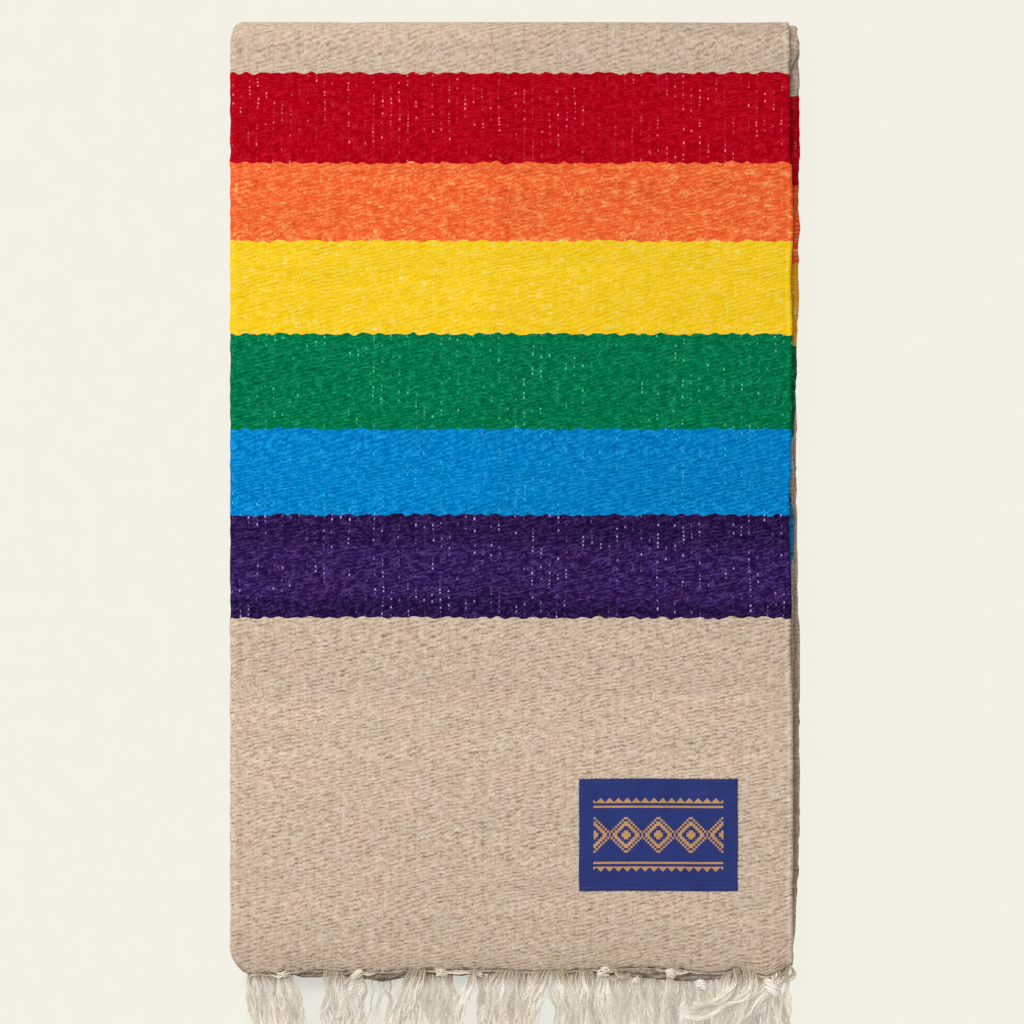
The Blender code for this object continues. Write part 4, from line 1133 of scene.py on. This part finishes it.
def spun_yarn(name, dark, light, warm):
    """Two-ply cotton warp yarn, unbleached and left loose: matt, softly twisted, each yarn a little different.

    To the eye a tassel is bright right through, as the lit table and the many white fibres pass light on from yarn
    to yarn. A weak glow of the yarn's own colour, painted light, stands for that. It fades beside the cloth, which
    keeps light out.
    """
    material, shader, add = new_finish(name, 0.85, sheen=0.15, specular=0.1)
    shader.inputs["Emission Strength"].default_value = 1.0
    round_yarn = add("SeparateXYZ", [add("UVMap", uv_map="cloth")])
    tone = add("Attribute", out="Fac", attribute_name="tone")
    # Two plies: a slanted ridge each 1.3 mm of yarn
    ply = add("MULTIPLY", [round_yarn, 2 * math.pi / YARN_ROUND])
    ply = add("SINE", [add("MULTIPLY_ADD", [round_yarn.node.outputs[1], 2 * math.pi / 0.0026, ply])])
    where = add("TexCoord", out="Object")
    fuzz = add("TexNoise", {"Vector": where, "Scale": 900.0, "Detail": 2.0})
    body = add("Mix RGBA", {0: tone, 6: colour(dark), 7: colour(light)}, 2)
    # One yarn in six is a warmer one
    odd = add("FRACT", [add("MULTIPLY", [tone, 9.37])])
    odd = add("MULTIPLY_ADD", [odd, 5.0, -4.2], use_clamp=True)
    body = add("Mix RGBA", {0: odd, 6: body, 7: colour(warm)}, 2)
    body = add("VectorMath MULTIPLY", [body, add("MULTIPLY_ADD", [fuzz, 0.12, 0.94])])
    # Painted shade beside the cloth, which keeps light off the yarns there; the knots take half of it
    shaded = add("MapRange SMOOTHSTEP", [add("SeparateXYZ", [where], 1), -0.335, -0.3215, 0.0, 1.0])
    loose_yarn_share = add("MULTIPLY_ADD", [add("MULTIPLY_ADD", [tone, -10.0, 11.0], use_clamp=True), 0.50, 0.50])
    shaded = add("MULTIPLY", [shaded, loose_yarn_share])
    knot_tint_and_root_shade = add("Mix RGBA", {0: loose_yarn_share, 6: colour("#E4E1DE"), 7: colour("#FFFFFF")}, 2)
    knot_tint_and_root_shade = add("Mix RGBA", {0: shaded, 6: knot_tint_and_root_shade, 7: colour("#D8CCBA")}, 2)
    body = add("VectorMath MULTIPLY", [body, knot_tint_and_root_shade])
    glow = add("VectorMath MULTIPLY", [body, add("MULTIPLY_ADD", [shaded, -0.20, 0.25])])
    height = add("MULTIPLY_ADD", [fuzz, 1.0, ply])
    surface(shader, body, add("Bump", {"Height": height, "Strength": 0.25, "Distance": 0.0001}), glow)
    return material


def sewing_thread(name):
    """Spun polyester sewing thread, navy, a shade lighter than the tape: matt with a faint twist."""
    material, shader, add = new_finish(name, 0.6, specular=0.35)
    fuzz = add("TexNoise", {"Vector": add("TexCoord", out="Object"), "Scale": 1500.0, "Detail": 1.0})
    tone = add("Attribute", out="Fac", attribute_name="tone")
    body = add("Mix RGBA", {0: tone, 6: colour("#141A3C"), 7: colour("#56639F")}, 2)
    surface(shader, body, add("Bump", {"Height": fuzz, "Strength": 0.3, "Distance": 0.0001}))
    return material


def lit_floor(name):
    """Opal acrylic light table, lit from below: matt and even, so that shadows on it stay faint.

    Under the fringe, where the cloth's end stands over it, a painted shadow: a soft grey, deepest beside the cloth's
    end, that fades outwards.
    """
    material, shader, add = new_finish(name, 1.0, specular=0.0)
    shader.inputs["Emission Strength"].default_value = 0.97
    where = add("TexCoord", out="Object")
    tooth = add("TexNoise", {"Vector": where, "Scale": 60.0, "Detail": 2.0})
    glow = add("Mix RGBA", {0: tooth, 6: colour("#F2F0E5"), 7: colour("#F4F2E7")}, 2)
    across, along = add("ABSOLUTE", [add("SeparateXYZ", [where])]), add("SeparateXYZ", [where], 1)
    # Painted shadow under the fringe, deepest beside the cloth's end
    within = add("MapRange SMOOTHSTEP", [across, 0.168, 0.188, 1.0, 0.0])
    beside = add("MapRange SMOOTHSTEP", [along, -0.346, -0.326, 0.0, 0.65])
    further = add("MapRange SMOOTHSTEP", [along, -0.440, -0.400, 0.0, 0.22])
    below = add("MapRange", [along, -0.300, -0.200, 1.0, 0.0])
    shade = add("MULTIPLY", [add("MULTIPLY", [add("ADD", [beside, further]), within]), below])
    glow = add("Mix RGBA", {0: shade, 6: glow, 7: colour("#C2C1BC")}, 2)
    surface(shader, add("VectorMath MULTIPLY", [glow, (0.03, 0.03, 0.03)]), None, glow)
    return material


# ---- stage ----


def make_stage():
    """A plain pale floor, soft light from above and the long fold's side, and the camera straight above."""
    scene = bpy.context.scene
    half = 4.0
    corners = [(-half, -half, 0), (half, -half, 0), (half, half, 0), (-half, half, 0)]
    mesh = bpy.data.meshes.new("studio_floor")
    mesh.from_pydata(corners, [], [(0, 1, 2, 3)])
    mesh.materials.append(lit_floor("opal acrylic floor"))
    floor = bpy.data.objects.new("studio_floor", mesh)
    scene.collection.objects.link(floor)

    world = bpy.data.worlds.new("studio surround")
    scene.world = world
    world.use_nodes = True
    background = world.node_tree.nodes["Background"]
    background.inputs["Color"].default_value = (1.0, 1.0, 1.0, 1.0)
    background.inputs["Strength"].default_value = 0.36
    soft_box = bpy.data.lights.new("soft box", "SUN")
    soft_box.energy = 1.90
    soft_box.angle = math.radians(50)
    side_panel = bpy.data.lights.new("side panel", "AREA")
    side_panel.energy = 2.4
    side_panel.size = 0.7
    height = 2.6
    view = bpy.data.cameras.new("camera")
    view.sensor_width = 36.0
    view.lens = 36.0 * (height - STACK) / FRAME_WIDTH
    for name, data, place, turn in (
        ("soft_box", soft_box, (-0.3, 1.9, 2.3), (math.radians(-32), math.radians(-28), 0)),
        ("side_panel", side_panel, (-0.75, 0.05, 0.93), (0, math.atan2(-0.75, 0.90), 0)),
        ("camera", view, (*FRAME_CENTRE, height), (0, 0, 0)),
    ):
        item = bpy.data.objects.new(name, data)
        item.location, item.rotation_euler = place, turn
        scene.collection.objects.link(item)
    scene.camera = item
    scene.view_settings.view_transform = "Standard"
    scene.view_settings.look = "None"


def main():
    """Dress the frame and light it."""
    top_cloth = woven_cloth("weft-faced serape cloth")
    # The folded layers' cloth takes the weft within the folds, its painted shade
    folded_cloth = woven_cloth("weft-faced serape cloth with painted shade in the folds", 7)
    tape = label_weave("damask label tape")
    yarn = spun_yarn("loose cotton warp yarn", "#CDC3B4", "#FFF9EE", "#F2E8D8")
    outer = outer_layer(top_cloth)
    inner = inner_layers(folded_cloth)
    label = make_label(tape)
    stitches = label_stitches(sewing_thread("spun sewing thread"))
    fringes = [make_fringe_row(*row, yarn) for row in FRINGE_ROWS]
    make_stage()


main()
